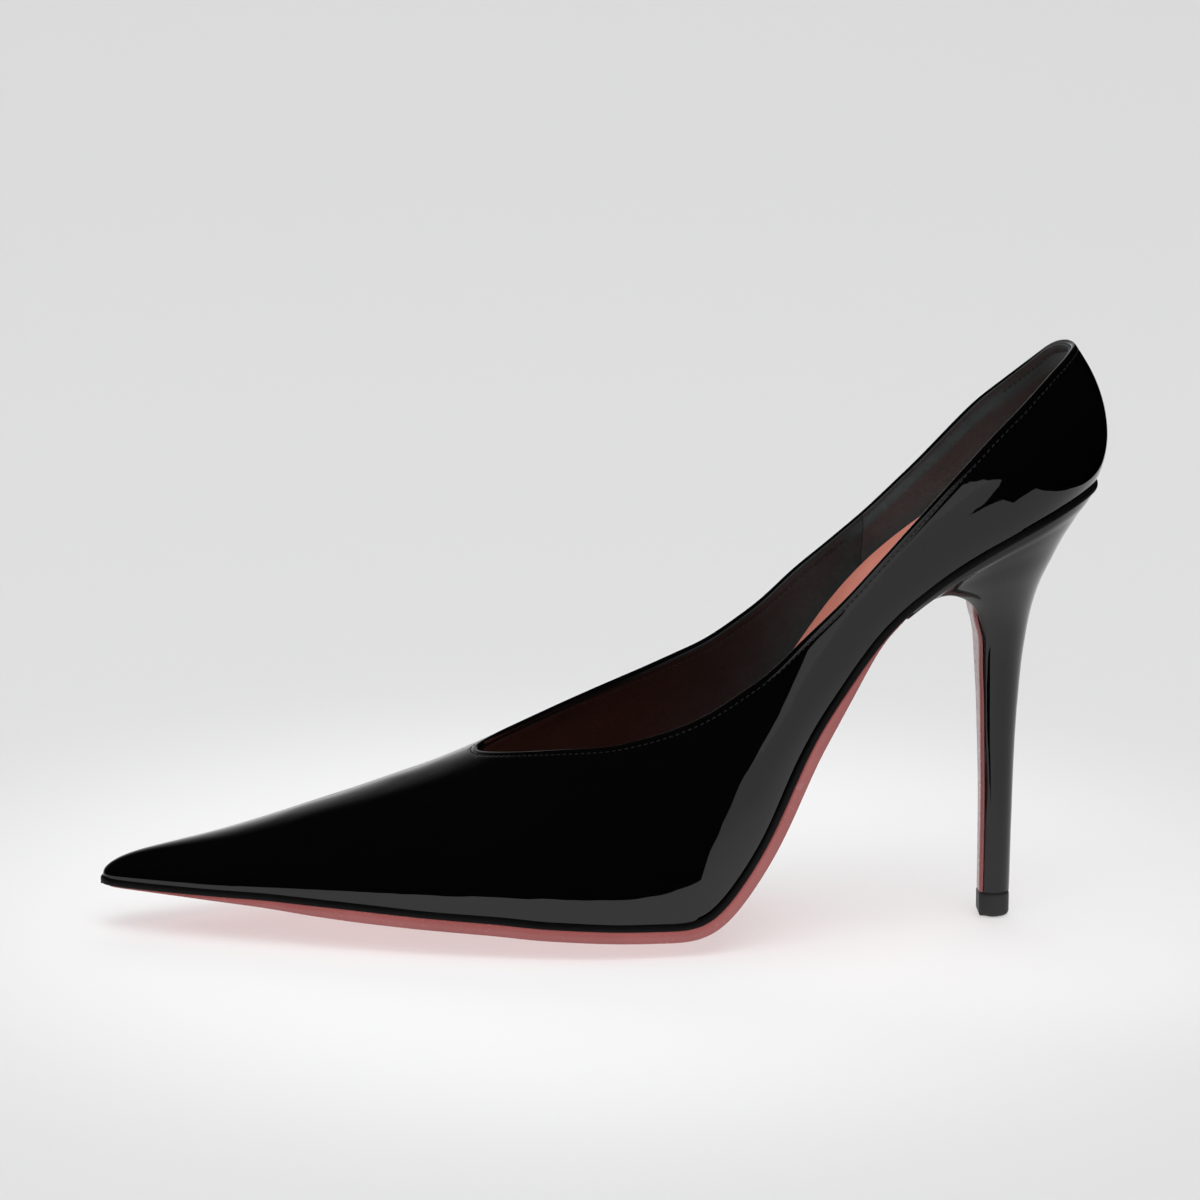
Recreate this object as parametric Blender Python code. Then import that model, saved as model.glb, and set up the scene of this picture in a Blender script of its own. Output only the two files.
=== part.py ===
"""Stiletto pump, left shoe: nested closed solids in one frame, millimetre shape tables."""
import math
import bpy
import bmesh
import numpy as np
from mathutils import Vector

for old in list(bpy.data.objects):
    bpy.data.objects.remove(old, do_unlink=True)

# ---------------------------------------------------------------- driving dimensions (mm)
GAP = 0.3                 # clearance between neighbouring pieces
SHIFT_A = 121.39          # toe-to-heel station that becomes X = 0
SHIFT_Y = -0.57           # sideways shift that centres the width
SEAT_AXIS = 215.0         # station of the upright axis of the heel seat
SEAT_RADIUS = 25.7        # seat radius rearwards
POLE_Z = 12.7             # height of the toe point
UPPER_T = 1.2             # patent upper
PUFF_T = 0.6              # toe puff
COUNTER_T = 1.0           # heel counter
LINING_T = 0.7            # lining leather
MARGIN = 10.0             # lasting margin turned under the board
BOARD_T = 1.7             # insole board
FOAM_T = 1.6              # sock cushion
SOCK_T = 0.8              # coral sock
RAND_T = 1.5              # black strip between upper and outsole
RAND_LIP = 0.55           # how far the strip stands out
SOLE_T = 2.8              # coral outsole
SOLE_END = 199.0          # station where the outsole meets the breast cover
SEAT_START = 193.4        # station where the heel wings begin
WRAP_T = 0.7              # patent heel wrap
BREAST_T = 0.9            # coral heel breast
LIFT_H = 6.0              # top lift height
TIP_Z = 6.3               # underside of the heel block
TUBE_R = 1.9
TUBE_BORE = 1.3
PIN_R = 1.0
THROAT = 91.0             # station of the throat point
LINING_JOINT = 186.0      # vamp lining meets heel lining
PIN_A = 218.0             # station of tube and lift pin

# ---------------------------------------------------------------- smooth tables over the station
STEP = 0.25
XS = np.arange(-60.0, 320.0, STEP)


def table(points, sigma):
    ys = np.interp(XS, [p[0] for p in points], [p[1] for p in points])
    n = int(4 * sigma / STEP)
    k = np.exp(-0.5 * (np.arange(-n, n + 1) * STEP / sigma) ** 2)
    k /= k.sum()
    return np.convolve(np.pad(ys, n, mode="edge"), k, "valid")


def at(tab, a):
    return float(np.interp(a, XS, tab))


def ramp(x, lo, hi):
    t = min(max((x - lo) / (hi - lo), 0.0), 1.0)
    return t * t * (3.0 - 2.0 * t)


WIDE_L = table([(-60, 1.9), (0, 1.95), (3, 2.05), (10, 2.3), (25, 2.72), (50, 3.12),
                (75, 3.40), (100, 3.46), (120, 3.33), (140, 2.92), (160, 2.37), (180, 1.95),
                (195, 1.73), (205, 1.645), (215, 1.602), (240, 1.60), (320, 1.6)], 5.0)
WIDE_M = table([(-60, 1.9), (0, 1.95), (3, 2.1), (10, 2.4), (25, 2.9), (50, 3.42),
                (75, 3.66), (95, 3.66), (110, 3.36), (130, 2.62), (150, 1.95), (170, 1.52),
                (190, 1.47), (205, 1.52), (215, 1.575), (240, 1.60), (320, 1.6)], 5.0)
FEATHER = table([(-60, 12.2), (0, 12.3), (21, 12.5), (40, 12.7), (60, 11.9), (79, 11.0),
                 (96, 10.3), (105, 9.5), (120, 8.9), (127, 8.6), (135, 8.5), (141, 8.3),
                 (146, 9.6), (150, 14.0), (156.5, 23.4), (161, 31.8), (165, 41.6),
                 (169, 50.8), (174, 58.8), (178, 64.7), (182, 70.5), (186, 75.6),
                 (189, 79.2), (193, 82.9), (196.5, 85.7), (200, 88.4), (203, 90.6),
                 (212, 96.3), (219, 100.3), (227, 104.1), (233, 106.9), (240, 109.4),
                 (260, 109.4)], 2.6)
RIDGE_K = table([(-60, 2.1), (0, 2.1), (5.7, 2.02), (14, 1.80), (27, 1.84), (40, 2.07),
                 (53, 2.32), (66, 2.58), (79.4, 2.84), (91.2, 3.13), (105, 3.56),
                 (121, 4.15), (135, 4.85), (150, 5.85), (165, 7.05), (180, 8.1),
                 (192, 8.85), (203, 9.3), (215, 9.68), (320, 9.68)], 5.0)
RIDGE_Y = table([(-60, 0.0), (25, 0.0), (60, 1.2), (90, 2.8), (110, 3.6), (135, 3.6),
                 (165, 2.0), (195, 0.3), (215, 0.0), (320, 0.0)], 8.0)
LEAN = table([(-60, 8), (0, 8), (40, 8), (80, 12), (120, 17), (140, 18), (160, 14),
              (185, 14), (200, 18), (215, 22), (235, 27), (255, 30), (300, 30)], 7.0)
HANDLE_LOW = table([(-60, .60), (0, .60), (90, .60), (120, .56), (150, .50), (180, .48),
                    (215, .44), (255, .42), (300, .42)], 8.0)
HANDLE_TOP = table([(-60, .50), (0, .52), (40, .56), (90, .62), (120, .60), (160, .62),
                    (190, .66), (215, .68), (255, .70), (300, .70)], 8.0)
CROWN = table([(-60, 0.0), (0, 0.0), (12, 0.9), (30, 2.0), (60, 2.8), (90, 3.3), (108, 3.7),
               (121, 4.2), (133, 4.25), (142, 3.5), (150, 2.6), (165, 1.6), (180, 0.7),
               (192, 0.3), (215, 0.3), (320, 0.3)], 6.0)
TOP_L = table([(60, .062), (91, .062), (97, .067), (103, .0695), (121, .0725), (133, .0700),
               (145, .0672), (153, .0680), (162, .0725), (171, .0775), (180, .0787),
               (189, .0763), (198, .0699), (209, .0607), (216, .0544), (225, .0448),
               (231, .0401), (237, .0370), (242, .0350), (246, .0337), (256, .0321), (300, .0321)], 3.0)
TOP_M = table([(60, .062), (91, .060), (98, .056), (104, .0515), (110, .0495), (117, .0492),
               (123, .0505), (129, .0525), (142, .0550), (156, .0603), (165, .0662),
               (175, .0713), (184, .0740), (189, .0742), (200, .0690), (211, .0609),
               (218, .0553), (226, .0469), (236, .0378), (242, .0350), (246, .0337), (256, .0321),
               (300, .0321)], 3.0)


def lower_offset(f, d, start):
    g = np.where(XS < start - 1e-9, -1e3, f)
    out = np.full_like(g, 1e9)
    n = int(d / STEP)
    for k in range(-n, n + 1):
        out = np.minimum(out, np.roll(g, -k) - math.sqrt(max(d * d - (k * STEP) ** 2, 0.0)))
    return out


def raised_offset(f, d, start=-60.0):
    g = np.where(XS < start - 1e-9, -1e3, f)
    out = np.full_like(g, -1e9)
    n = int(d / STEP)
    for k in range(-n, n + 1):
        out = np.maximum(out, np.roll(g, -k) + math.sqrt(max(d * d - (k * STEP) ** 2, 0.0)))
    return out


ROOT = np.sqrt(np.maximum(XS, 0.0))
BASE_W = {-1: WIDE_L * ROOT, 1: WIDE_M * ROOT}
LEVELS = {}


def level(d):
    """Side profile of the bottom surface moved by d along its normal (up positive)."""
    key = round(d, 3)
    if key not in LEVELS:
        if d > 0:
            LEVELS[key] = raised_offset(FEATHER, d)
        elif d < 0:
            LEVELS[key] = lower_offset(FEATHER, -d, -60.0)
        else:
            LEVELS[key] = FEATHER
    return LEVELS[key]


def across(a, y):
    """How far a plan point lies from the centre line: 1 at the feather edge."""
    side = -1 if y < 0 else 1
    if a <= SEAT_AXIS:
        return abs(y) / max(at(BASE_W[side], a), 0.5)
    b = at(BASE_W[side], SEAT_AXIS)
    return math.hypot((a - SEAT_AXIS) / SEAT_RADIUS, y / b)


def bottom_z(a, y, d):
    r = min(across(a, y), 1.3)
    return at(level(d), a) - at(CROWN, a) * (1.0 - r * r)


def outline(inset):
    """Half widths and tip station of the bottom outline moved inwards by inset."""
    if inset > 0:
        w = {s: lower_offset(BASE_W[s], inset, 0.0) for s in (-1, 1)}
    elif inset < 0:
        w = {s: raised_offset(BASE_W[s], -inset, 0.0) for s in (-1, 1)}
    else:
        w = BASE_W
    ok = (np.minimum(w[-1], w[1]) > 0.02) & (XS > -3.0)
    return w, float(XS[int(np.argmax(ok))])


class Last:
    """The foot form moved inwards by d; sections run from feather to ridge."""

    def __init__(self, d):
        ridge = POLE_Z + RIDGE_K * ROOT
        ridge = np.where(XS > SEAT_AXIS, at(ridge, SEAT_AXIS), ridge)
        close = np.exp(-np.maximum(XS, 0.0) / 1.2)
        floor = np.where(XS < 0, POLE_Z, FEATHER * (1 - close) + POLE_Z * close)
        self.w = BASE_W
        if d > 0:
            self.w = {s: lower_offset(BASE_W[s], d, 0.0) for s in (-1, 1)}
            ridge = lower_offset(ridge, d, 0.0)
            floor = raised_offset(floor, d)
        self.ridge = ridge
        self.floor = floor
        self.radius = SEAT_RADIUS - d
        ok = (np.minimum(self.w[-1], self.w[1]) > 0.05) & (ridge - floor > 0.1) & (XS >= 0)
        self.start = float(XS[int(np.argmax(ok))]) if d > 0 else 0.0

    def section(self, side, q, turn):
        """q is the station up to the seat axis, turn 0..1 the quarter turn behind it."""
        if turn <= 0.0:
            return (q, 0.0), (0.0, side), max(at(self.w[side], q), 0.0), q
        t = turn * math.pi / 2
        b = at(self.w[side], SEAT_AXIS)
        x = self.radius * math.sin(t)
        y = b * math.cos(t)
        r = math.hypot(x, y)
        return (SEAT_AXIS, 0.0), (x / r, side * y / r), r, SEAT_AXIS + x

    def point(self, side, q, turn, v):
        o, e, r, a_foot = self.section(side, q, turn)
        run = q if turn <= 0 else SEAT_AXIS + SEAT_RADIUS * math.pi / 2 * turn
        rx = o[0] + e[0] * r
        ry = o[1] + e[1] * r
        k = min(across(rx, ry if abs(ry) > 1e-6 else 1e-6 * side), 1.0)
        z0 = at(self.floor, a_foot) - at(CROWN, a_foot) * (1.0 - k * k)
        z1 = at(self.ridge, min(q, SEAT_AXIS))
        yr = at(RIDGE_Y, run) * side
        lean = math.radians(at(LEAN, run))
        h = at(HANDLE_LOW, run) * (z1 - z0)
        top = yr + at(HANDLE_TOP, run) * (r - yr)
        p = ((r, z0), (r + h * math.sin(lean), z0 + h * math.cos(lean)), (top, z1), (yr, z1))
        c = ((1 - v) ** 3, 3 * v * (1 - v) ** 2, 3 * v * v * (1 - v), v ** 3)
        rr = sum(c[i] * p[i][0] for i in range(4))
        zz = sum(c[i] * p[i][1] for i in range(4))
        return (o[0] + e[0] * rr, o[1] + e[1] * rr, zz)


def top_v(side, run):
    """Where the topline cuts the section."""
    if run <= THROAT:
        return 1.0
    tab = TOP_L if side < 0 else TOP_M
    return 1.0 - at(tab, run) * math.sqrt(run - THROAT)


# ---------------------------------------------------------------- mesh helpers
MATS = {
    "patent": ((0.004, 0.004, 0.004, 1), 0.08),
    "lining": ((0.02, 0.018, 0.018, 1), 0.7),
    "stiffener": ((0.55, 0.5, 0.42, 1), 0.8),
    "board": ((0.35, 0.22, 0.12, 1), 0.85),
    "coral": ((0.55, 0.16, 0.13, 1), 0.45),
    "rand": ((0.006, 0.006, 0.006, 1), 0.3),
    "steel": ((0.6, 0.6, 0.6, 1), 0.3),
    "foam": ((0.75, 0.7, 0.6, 1), 0.9),
    "abs": ((0.05, 0.05, 0.05, 1), 0.5),
    "lift": ((0.02, 0.02, 0.02, 1), 0.6),
}


def material(name):
    if name in bpy.data.materials:
        return bpy.data.materials[name]
    mat = bpy.data.materials.new(name)
    mat.use_nodes = True
    node = mat.node_tree.nodes["Principled BSDF"]
    node.inputs["Base Color"].default_value = MATS[name][0]
    node.inputs["Roughness"].default_value = MATS[name][1]
    if name == "steel":
        node.inputs["Metallic"].default_value = 1.0
    return mat


class Patches:
    """Collects grids of points in mm and welds them into one closed body."""

    def __init__(self):
        self.v = []
        self.f = []

    def grid(self, rows, flip=False):
        base = len(self.v)
        m = len(rows[0])
        for row in rows:
            self.v.extend(row)
        for i in range(len(rows) - 1):
            for j in range(m - 1):
                a = base + i * m + j
                b = a + 1
                c = a + m + 1
                d = a + m
                if flip:
                    self.f.append((a, b, d))
                    self.f.append((b, c, d))
                else:
                    self.f.append((a, b, c))
                    self.f.append((a, c, d))

    def fan(self, centre, loop):
        base = len(self.v)
        self.v.append(centre)
        self.v.extend(loop)
        for i in range(len(loop) - 1):
            self.f.append((base, base + 1 + i, base + 2 + i))

    def build(self, name, mat, sharp=35.0, weld=2.0e-6):
        bm = bmesh.new()
        vs = [bm.verts.new(((p[0] - SHIFT_A) * 1e-3, (p[1] - SHIFT_Y) * 1e-3, p[2] * 1e-3))
              for p in self.v]
        for f in self.f:
            bm.faces.new([vs[i] for i in f])
        bmesh.ops.remove_doubles(bm, verts=bm.verts, dist=weld)
        bmesh.ops.dissolve_degenerate(bm, edges=bm.edges, dist=1.0e-6)
        bmesh.ops.triangulate(bm, faces=bm.faces)
        bmesh.ops.recalc_face_normals(bm, faces=bm.faces)
        mesh = bpy.data.meshes.new(name)
        bm.to_mesh(mesh)
        volume = bm.calc_volume(signed=True)
        bm.free()
        if volume < 0:
            mesh.flip_normals()
        ob = bpy.data.objects.new(name, mesh)
        bpy.context.scene.collection.objects.link(ob)
        mesh.materials.append(material(mat))
        mesh.shade_smooth()
        mesh.set_sharp_from_angle(angle=math.radians(sharp))
        return ob


def revolve(profile, origin, axis, seg=16):
    """Closed body of revolution; profile is (radius, distance) along axis."""
    z = Vector(axis).normalized()
    x = z.cross(Vector((0, 1, 0))).normalized()
    y = z.cross(x)
    o = Vector(origin)
    rows = []
    for r, d in profile:
        row = []
        for k in range(seg + 1):
            t = 2 * math.pi * (k % seg) / seg
            p = o + z * d + x * (r * math.cos(t)) + y * (r * math.sin(t))
            row.append(tuple(p))
        rows.append(row)
    return rows


def turned(name, mat, profile, origin, axis=(0, 0, 1), seg=16, ring=False):
    body = Patches()
    rows = revolve(profile, origin, axis, seg)
    body.grid(rows + ([rows[0]] if ring else []))
    if not ring:
        z = Vector(axis).normalized()
        body.fan(tuple(Vector(origin) + z * profile[0][1]), rows[0])
        body.fan(tuple(Vector(origin) + z * profile[-1][1]), rows[-1])
    return body.build(name, mat)


def cut(ob, cutters):
    """Subtract cylinders given as (origin, axis, radius, d0, d1)."""
    made = []
    for k, (o, ax, r, d0, d1) in enumerate(cutters):
        tool = turned("cutter_%d" % k, "steel", [(r, d0), (r, d1)], o, ax)
        tool.hide_render = True
        tool.display_type = "WIRE"
        made.append(tool)
    subtract(ob, made)


def subtract(ob, made):
    for k, tool in enumerate(made):
        mod = ob.modifiers.new("cut_%d" % k, "BOOLEAN")
        mod.operation = "DIFFERENCE"
        mod.solver = "EXACT"
        mod.object = tool
    deps = bpy.context.evaluated_depsgraph_get()
    mesh = bpy.data.meshes.new_from_object(ob.evaluated_get(deps))
    ob.modifiers.clear()
    ob.data = mesh
    for tool in made:
        bpy.data.objects.remove(tool, do_unlink=True)
    bm = bmesh.new()
    bm.from_mesh(mesh)
    bmesh.ops.remove_doubles(bm, verts=bm.verts, dist=1.0e-7)
    bmesh.ops.triangulate(bm, faces=bm.faces)
    bm.to_mesh(mesh)
    bm.free()
    mesh.shade_smooth()
    mesh.set_sharp_from_angle(angle=math.radians(35.0))


# ---------------------------------------------------------------- stations
COMMON = [THROAT * (k / 10.0) ** 2 for k in range(11)]
COMMON += [THROAT + 14.0 * (k / 4.0) ** 2 for k in range(1, 5)]
COMMON += [113.0, 121.0, 129.0, 136.0, 141.5, 145.5, 149.0, 152.5, 156.5, 161.0, 166.0, 171.5,
           178.0, 184.5, 191.5, 199.0, 207.0, SEAT_AXIS]


def stations(start, end=None, first=0.0):
    """(q, turn) pairs from the toe round to the middle of the back."""
    out = [(start, 0.0)]
    out.extend([(a, 0.0) for a in COMMON if a > start + 0.6])
    for k in range(1, 7):
        out.append((SEAT_AXIS, k / 6.0))
    return out


def run_of(q, turn):
    return q if turn <= 0 else SEAT_AXIS + SEAT_RADIUS * math.pi / 2 * turn


LASTS = {}


def last(d):
    key = round(d, 3)
    if key not in LASTS:
        LASTS[key] = Last(d)
    return LASTS[key]


# ---------------------------------------------------------------- upper
MARGIN_W, MARGIN_START = outline(MARGIN)


def bottom_row(form, side, q, turn, d, n, r_in_abs):
    """Points of the bottom from the feather inwards, at n + 1 places."""
    o, e, r, a_foot = form.section(side, q, turn)
    row = []
    for j in range(n + 1):
        rr = r + (r_in_abs - r) * j / n
        a = o[0] + e[0] * rr
        y = o[1] + e[1] * rr
        if j == 0:
            row.append(form.point(side, q, turn, 0.0))
            continue
        k = min(across(a, y if abs(y) > 1e-6 else 1e-6 * side), 1.0)
        z = at(form.floor, a) - at(CROWN, a) * (1.0 - k * k)
        row.append((a, y, z))
    return row


def make_upper():
    body = Patches()
    nv = 7
    nb = 2
    rims = {}
    for d in (0.0, UPPER_T):
        form = last(d)
        sts = stations(form.start)
        for side in (-1, 1):
            rows = []
            under = []
            for q, turn in sts:
                tv = top_v(side, run_of(q, turn))
                rows.append([form.point(side, q, turn, tv * j / nv) for j in range(nv + 1)])
                if turn <= 0:
                    inner = max(at(MARGIN_W[side], q), 0.0) if q > MARGIN_START else 0.0
                else:
                    inner = form.section(side, q, turn)[2] - (MARGIN - d)
                under.append(bottom_row(form, side, q, turn, d, nb, inner))
            z0 = 0.5 * (rows[0][0][2] + rows[0][-1][2])
            if side < 0:
                tip = (form.start, 0.0, z0)
            rows[0] = [tip] * (nv + 1)
            under[0] = [tip] * (nb + 1)
            body.grid(rows, flip=side > 0)
            body.grid(under, flip=side > 0)
            rims[(d, side)] = ([r[-1] for r in rows], [u[-1] for u in under], sts, rows, under)
    # topline rim and margin rim
    for side in (-1, 1):
        o_top, o_in, sts = rims[(0.0, side)][:3]
        i_top, i_in = rims[(UPPER_T, side)][:2]
        k0 = next(i for i, s in enumerate(sts) if s[0] >= THROAT - 1e-6) - len(sts)
        body.grid([o_top[k0:], i_top[k0:]])
        k1 = max(i for i, s in enumerate(sts) if s[0] <= MARGIN_START and s[1] <= 0) - len(sts)
        body.grid([o_in[k1:], i_in[k1:]])
    return body.build("upper", "patent")


def wall_point(side, q, turn, v, depth):
    """Wall at a varying depth: blend between whole-number offsets of the form."""
    lo = math.floor(depth / 0.5) * 0.5
    k = (depth - lo) / 0.5
    p = last(lo).point(side, q, turn, v)
    if k < 1e-6:
        return p
    r = last(lo + 0.5).point(side, q, turn, v)
    return tuple(p[i] * (1 - k) + r[i] * k for i in range(3))


def foot_v(side, q, turn, depth, lift):
    """v at which the wall stands lift above the bottom surface."""
    lo = 0.0
    hi = 0.7
    for _ in range(24):
        mid = 0.5 * (lo + hi)
        p = wall_point(side, q, turn, mid, depth)
        if p[2] > bottom_z(p[0], p[1], lift):
            hi = mid
        else:
            lo = mid
    return 0.5 * (lo + hi)


def wall_strip(name, mat, sts, depth0, depth1, low, high, nv, closed_top):
    """Wall strip over both sides. depth0/depth1(run, t) outer and inner depth,
    low(side, q, turn) and high(side, q, turn) limits in v."""
    body = Patches()
    ends = {}
    for which, depth in ((0, depth0), (1, depth1)):
        for side in (-1, 1):
            rows = []
            for q, turn in sts:
                run = run_of(q, turn)
                v0 = low(side, q, turn)
                v1 = high(side, q, turn)
                row = []
                for j in range(nv + 1):
                    t = j / nv
                    row.append(wall_point(side, q, turn, v0 + (v1 - v0) * t, depth(run, t)))
                rows.append(row)
            body.grid(rows, flip=side > 0)
            ends[(which, side)] = rows
    for side in (-1, 1):
        a = ends[(0, side)]
        b = ends[(1, side)]
        body.grid([[r[0] for r in a], [r[0] for r in b]])
        first = 0
        if closed_top:
            first = max([i for i, s in enumerate(sts) if s[0] <= THROAT + 1e-6 and s[1] <= 0] + [0])
        if first < len(sts) - 1:
            body.grid([[r[-1] for r in a[first:]], [r[-1] for r in b[first:]]])
        if sts[0][1] <= 0:
            body.grid([a[0], b[0]])
        if sts[-1][1] < 1.0 - 1e-6:
            body.grid([a[-1], b[-1]])
    return body.build(name, mat)


def all_stations(lo, hi, extra=()):
    """Station list between two runs, using the common spacing of the outer form."""
    base = [s for s in stations(0.0) if lo + 1.2 < run_of(*s) < hi - 1.2]
    ends = [lo]
    if hi < 255.0:
        ends.append(hi)
    else:
        base = [s for s in base if s[1] < 1.0] + [(SEAT_AXIS, 1.0)]
    out = list(base)
    for e in ends:
        if e <= SEAT_AXIS:
            out.append((e, 0.0))
        else:
            out.append((SEAT_AXIS, (e - SEAT_AXIS) / (SEAT_RADIUS * math.pi / 2)))
    out.sort(key=lambda s: run_of(*s))
    return out


PUFF_END = 34.0
COUNTER_START = 188.0
IN_LINING = UPPER_T + GAP + 0.0


def toe_fill(run):
    return 1.0 - ramp(run, PUFF_END + 1.0, PUFF_END + 9.0)


def counter_fill(run, t):
    side_fade = ramp(run, COUNTER_START - 9.0, COUNTER_START - 1.0)
    return side_fade * (1.0 - ramp(t, 0.80, 0.95))


def lining_outer(run, t):
    return IN_LINING + toe_fill(run) * (PUFF_T + GAP) + counter_fill(run, t) * (COUNTER_T + GAP)


def lining_inner(run, t):
    return lining_outer(run, t) + LINING_T


SOCK_LIFT = 2 * GAP + UPPER_T + BOARD_T


def make_walls():
    def high(side, q, turn):
        return top_v(side, run_of(q, turn))

    def low_lining(side, q, turn):
        run = run_of(q, turn)
        return foot_v(side, q, turn, lining_outer(run, 0.0), SOCK_LIFT + GAP + 0.1)

    wall_strip("vamp_lining", "lining", all_stations(22.0, LINING_JOINT - GAP / 2),
               lining_outer, lining_inner, low_lining, high, 5, True)
    wall_strip("heel_lining", "lining", all_stations(LINING_JOINT + GAP / 2, 999.0),
               lining_outer, lining_inner, low_lining, high, 6, False)

    def low_stiff(side, q, turn):
        run = run_of(q, turn)
        return foot_v(side, q, turn, UPPER_T + GAP, SOCK_LIFT + GAP + 0.1)

    def puff_top(side, q, turn):
        return 1.0

    wall_strip("toe_puff", "stiffener", all_stations(12.0, PUFF_END),
               lambda run, t: UPPER_T + GAP, lambda run, t: UPPER_T + GAP + PUFF_T,
               low_stiff, puff_top, 5, True)

    def counter_top(side, q, turn):
        run = run_of(q, turn)
        v0 = low_lining(side, q, turn)
        return v0 + (high(side, q, turn) - v0) * 0.76

    wall_strip("heel_counter", "stiffener", all_stations(COUNTER_START, 999.0),
               lambda run, t: UPPER_T + GAP, lambda run, t: UPPER_T + GAP + COUNTER_T,
               low_stiff, counter_top, 5, False)


# ---------------------------------------------------------------- bottom layers
def plan_stations(start, end):
    stop = min(end, SEAT_AXIS)
    return [start] + [a for a in COMMON if start + 0.9 < a < stop - 0.9] + [stop]


def layer(name, mat, inset, top, bot, start=None, end=999.0, edge=0.0, n=4, sharp=35.0,
          ring=None):
    """Slab following the bottom of the form.
    inset(a) is added to the outline, top/bot(a, y) give heights, ring is an inner outline."""
    table_w = {}
    tips = []
    samples = sorted(set([round(inset(x), 2) for x in (0, 20, 40, 80, 150, 184, 200, 215)]))
    outs = {i: outline(i) for i in samples}

    def half(side, a):
        d = inset(a)
        lo = max([i for i in samples if i <= d + 1e-9] or [samples[0]])
        hi = min([i for i in samples if i >= d - 1e-9] or [samples[-1]])
        k = 0.0 if hi == lo else (d - lo) / (hi - lo)
        return at(outs[lo][0][side], a) * (1 - k) + at(outs[hi][0][side], a) * k

    tip = outs[min(samples, key=lambda i: abs(i - inset(0)))][1] if start is None else start
    pts = plan_stations(tip, end)
    closed_back = end > SEAT_AXIS
    spans = []
    for a in pts:
        spans.append(("x", a, 0.0))
    if closed_back:
        for k in range(1, 7):
            spans.append(("t", SEAT_AXIS, k / 6.0 * math.pi / 2))
    body = Patches()
    keep = {}
    for side in (-1, 1):
        tops = []
        bots = []
        rims = []
        inner = []
        for kind, a, t in spans:
            if kind == "x":
                w = max(half(side, a), 0.0)
                if start is None and a == pts[0]:
                    w = 0.0
                e = (0.0, side)
                r = w
            else:
                b = half(side, SEAT_AXIS)
                x = (SEAT_RADIUS - inset(SEAT_AXIS + 20)) * math.sin(t)
                y = b * math.cos(t)
                r = math.hypot(x, y)
                e = (x / r, side * y / r)
            r0 = 0.0
            if ring is not None:
                r0 = max(r - ring, 0.0)
                if kind == "x":
                    r0 = max(at(RING_W[side], a), 0.0) if a > RING_START else 0.0
                r0 = min(r0, r)
            row_t = []
            row_b = []
            for j in range(n + 1):
                rr = r0 + (r - r0) * j / n
                shrink = edge if j == n else 0.0
                rr_t = max(rr - shrink, r0)
                pa = a + e[0] * rr_t
                py = e[1] * rr_t
                yy = py if abs(py) > 1e-6 else 1e-6 * side
                row_t.append((pa, py, top(pa, yy)))
                row_b.append((pa, py, bot(pa, yy)))
            tops.append(row_t)
            bots.append(row_b)
            if edge > 0:
                pa = a + e[0] * r
                py = e[1] * r
                yy = py if abs(py) > 1e-6 else 1e-6 * side
                zt = top(pa, yy)
                zb = bot(pa, yy)
                lo = zb + (zt - zb) * 0.35
                hi = zb + (zt - zb) * 0.75
                rims.append([row_b[-1], (pa, py, lo), (pa, py, hi), row_t[-1]])
            else:
                rims.append([row_b[-1], row_t[-1]])
            inner.append([row_b[0], row_t[0]])
        body.grid(tops, flip=side > 0)
        body.grid(bots, flip=side > 0)
        body.grid(rims)
        keep[side] = (tops, bots, rims)
        if ring is not None:
            k1 = max([i for i, s in enumerate(spans) if s[0] == "x" and s[1] <= RING_START])
            body.grid(inner[k1:])
        if not closed_back:
            body.grid([tops[-1], bots[-1]])
            if edge > 0:
                body.fan(tops[-1][-1], list(reversed(rims[-1]))[1:])
        if start is not None:
            body.grid([tops[0], bots[0]])
            if edge > 0:
                body.fan(tops[0][-1], list(reversed(rims[0]))[1:])
    return body.build(name, mat, sharp)


def sole_thickness(a):
    """Skived to almost nothing at the toe and under the heel wings."""
    return 0.35 + (SOLE_T - 0.35) * ramp(a, 8.0, 66.0) - (SOLE_T - 0.7) * ramp(a, 174.0, 189.0)


RING_W, RING_START = outline(9.6)
RAND_TOP = -GAP
RAND_BOT = -GAP - RAND_T
SOLE_TOP = RAND_BOT - GAP


def board_edge(a):
    return UPPER_T + GAP + 1.9 * (1.0 - ramp(a, 28.0, 62.0))


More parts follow.
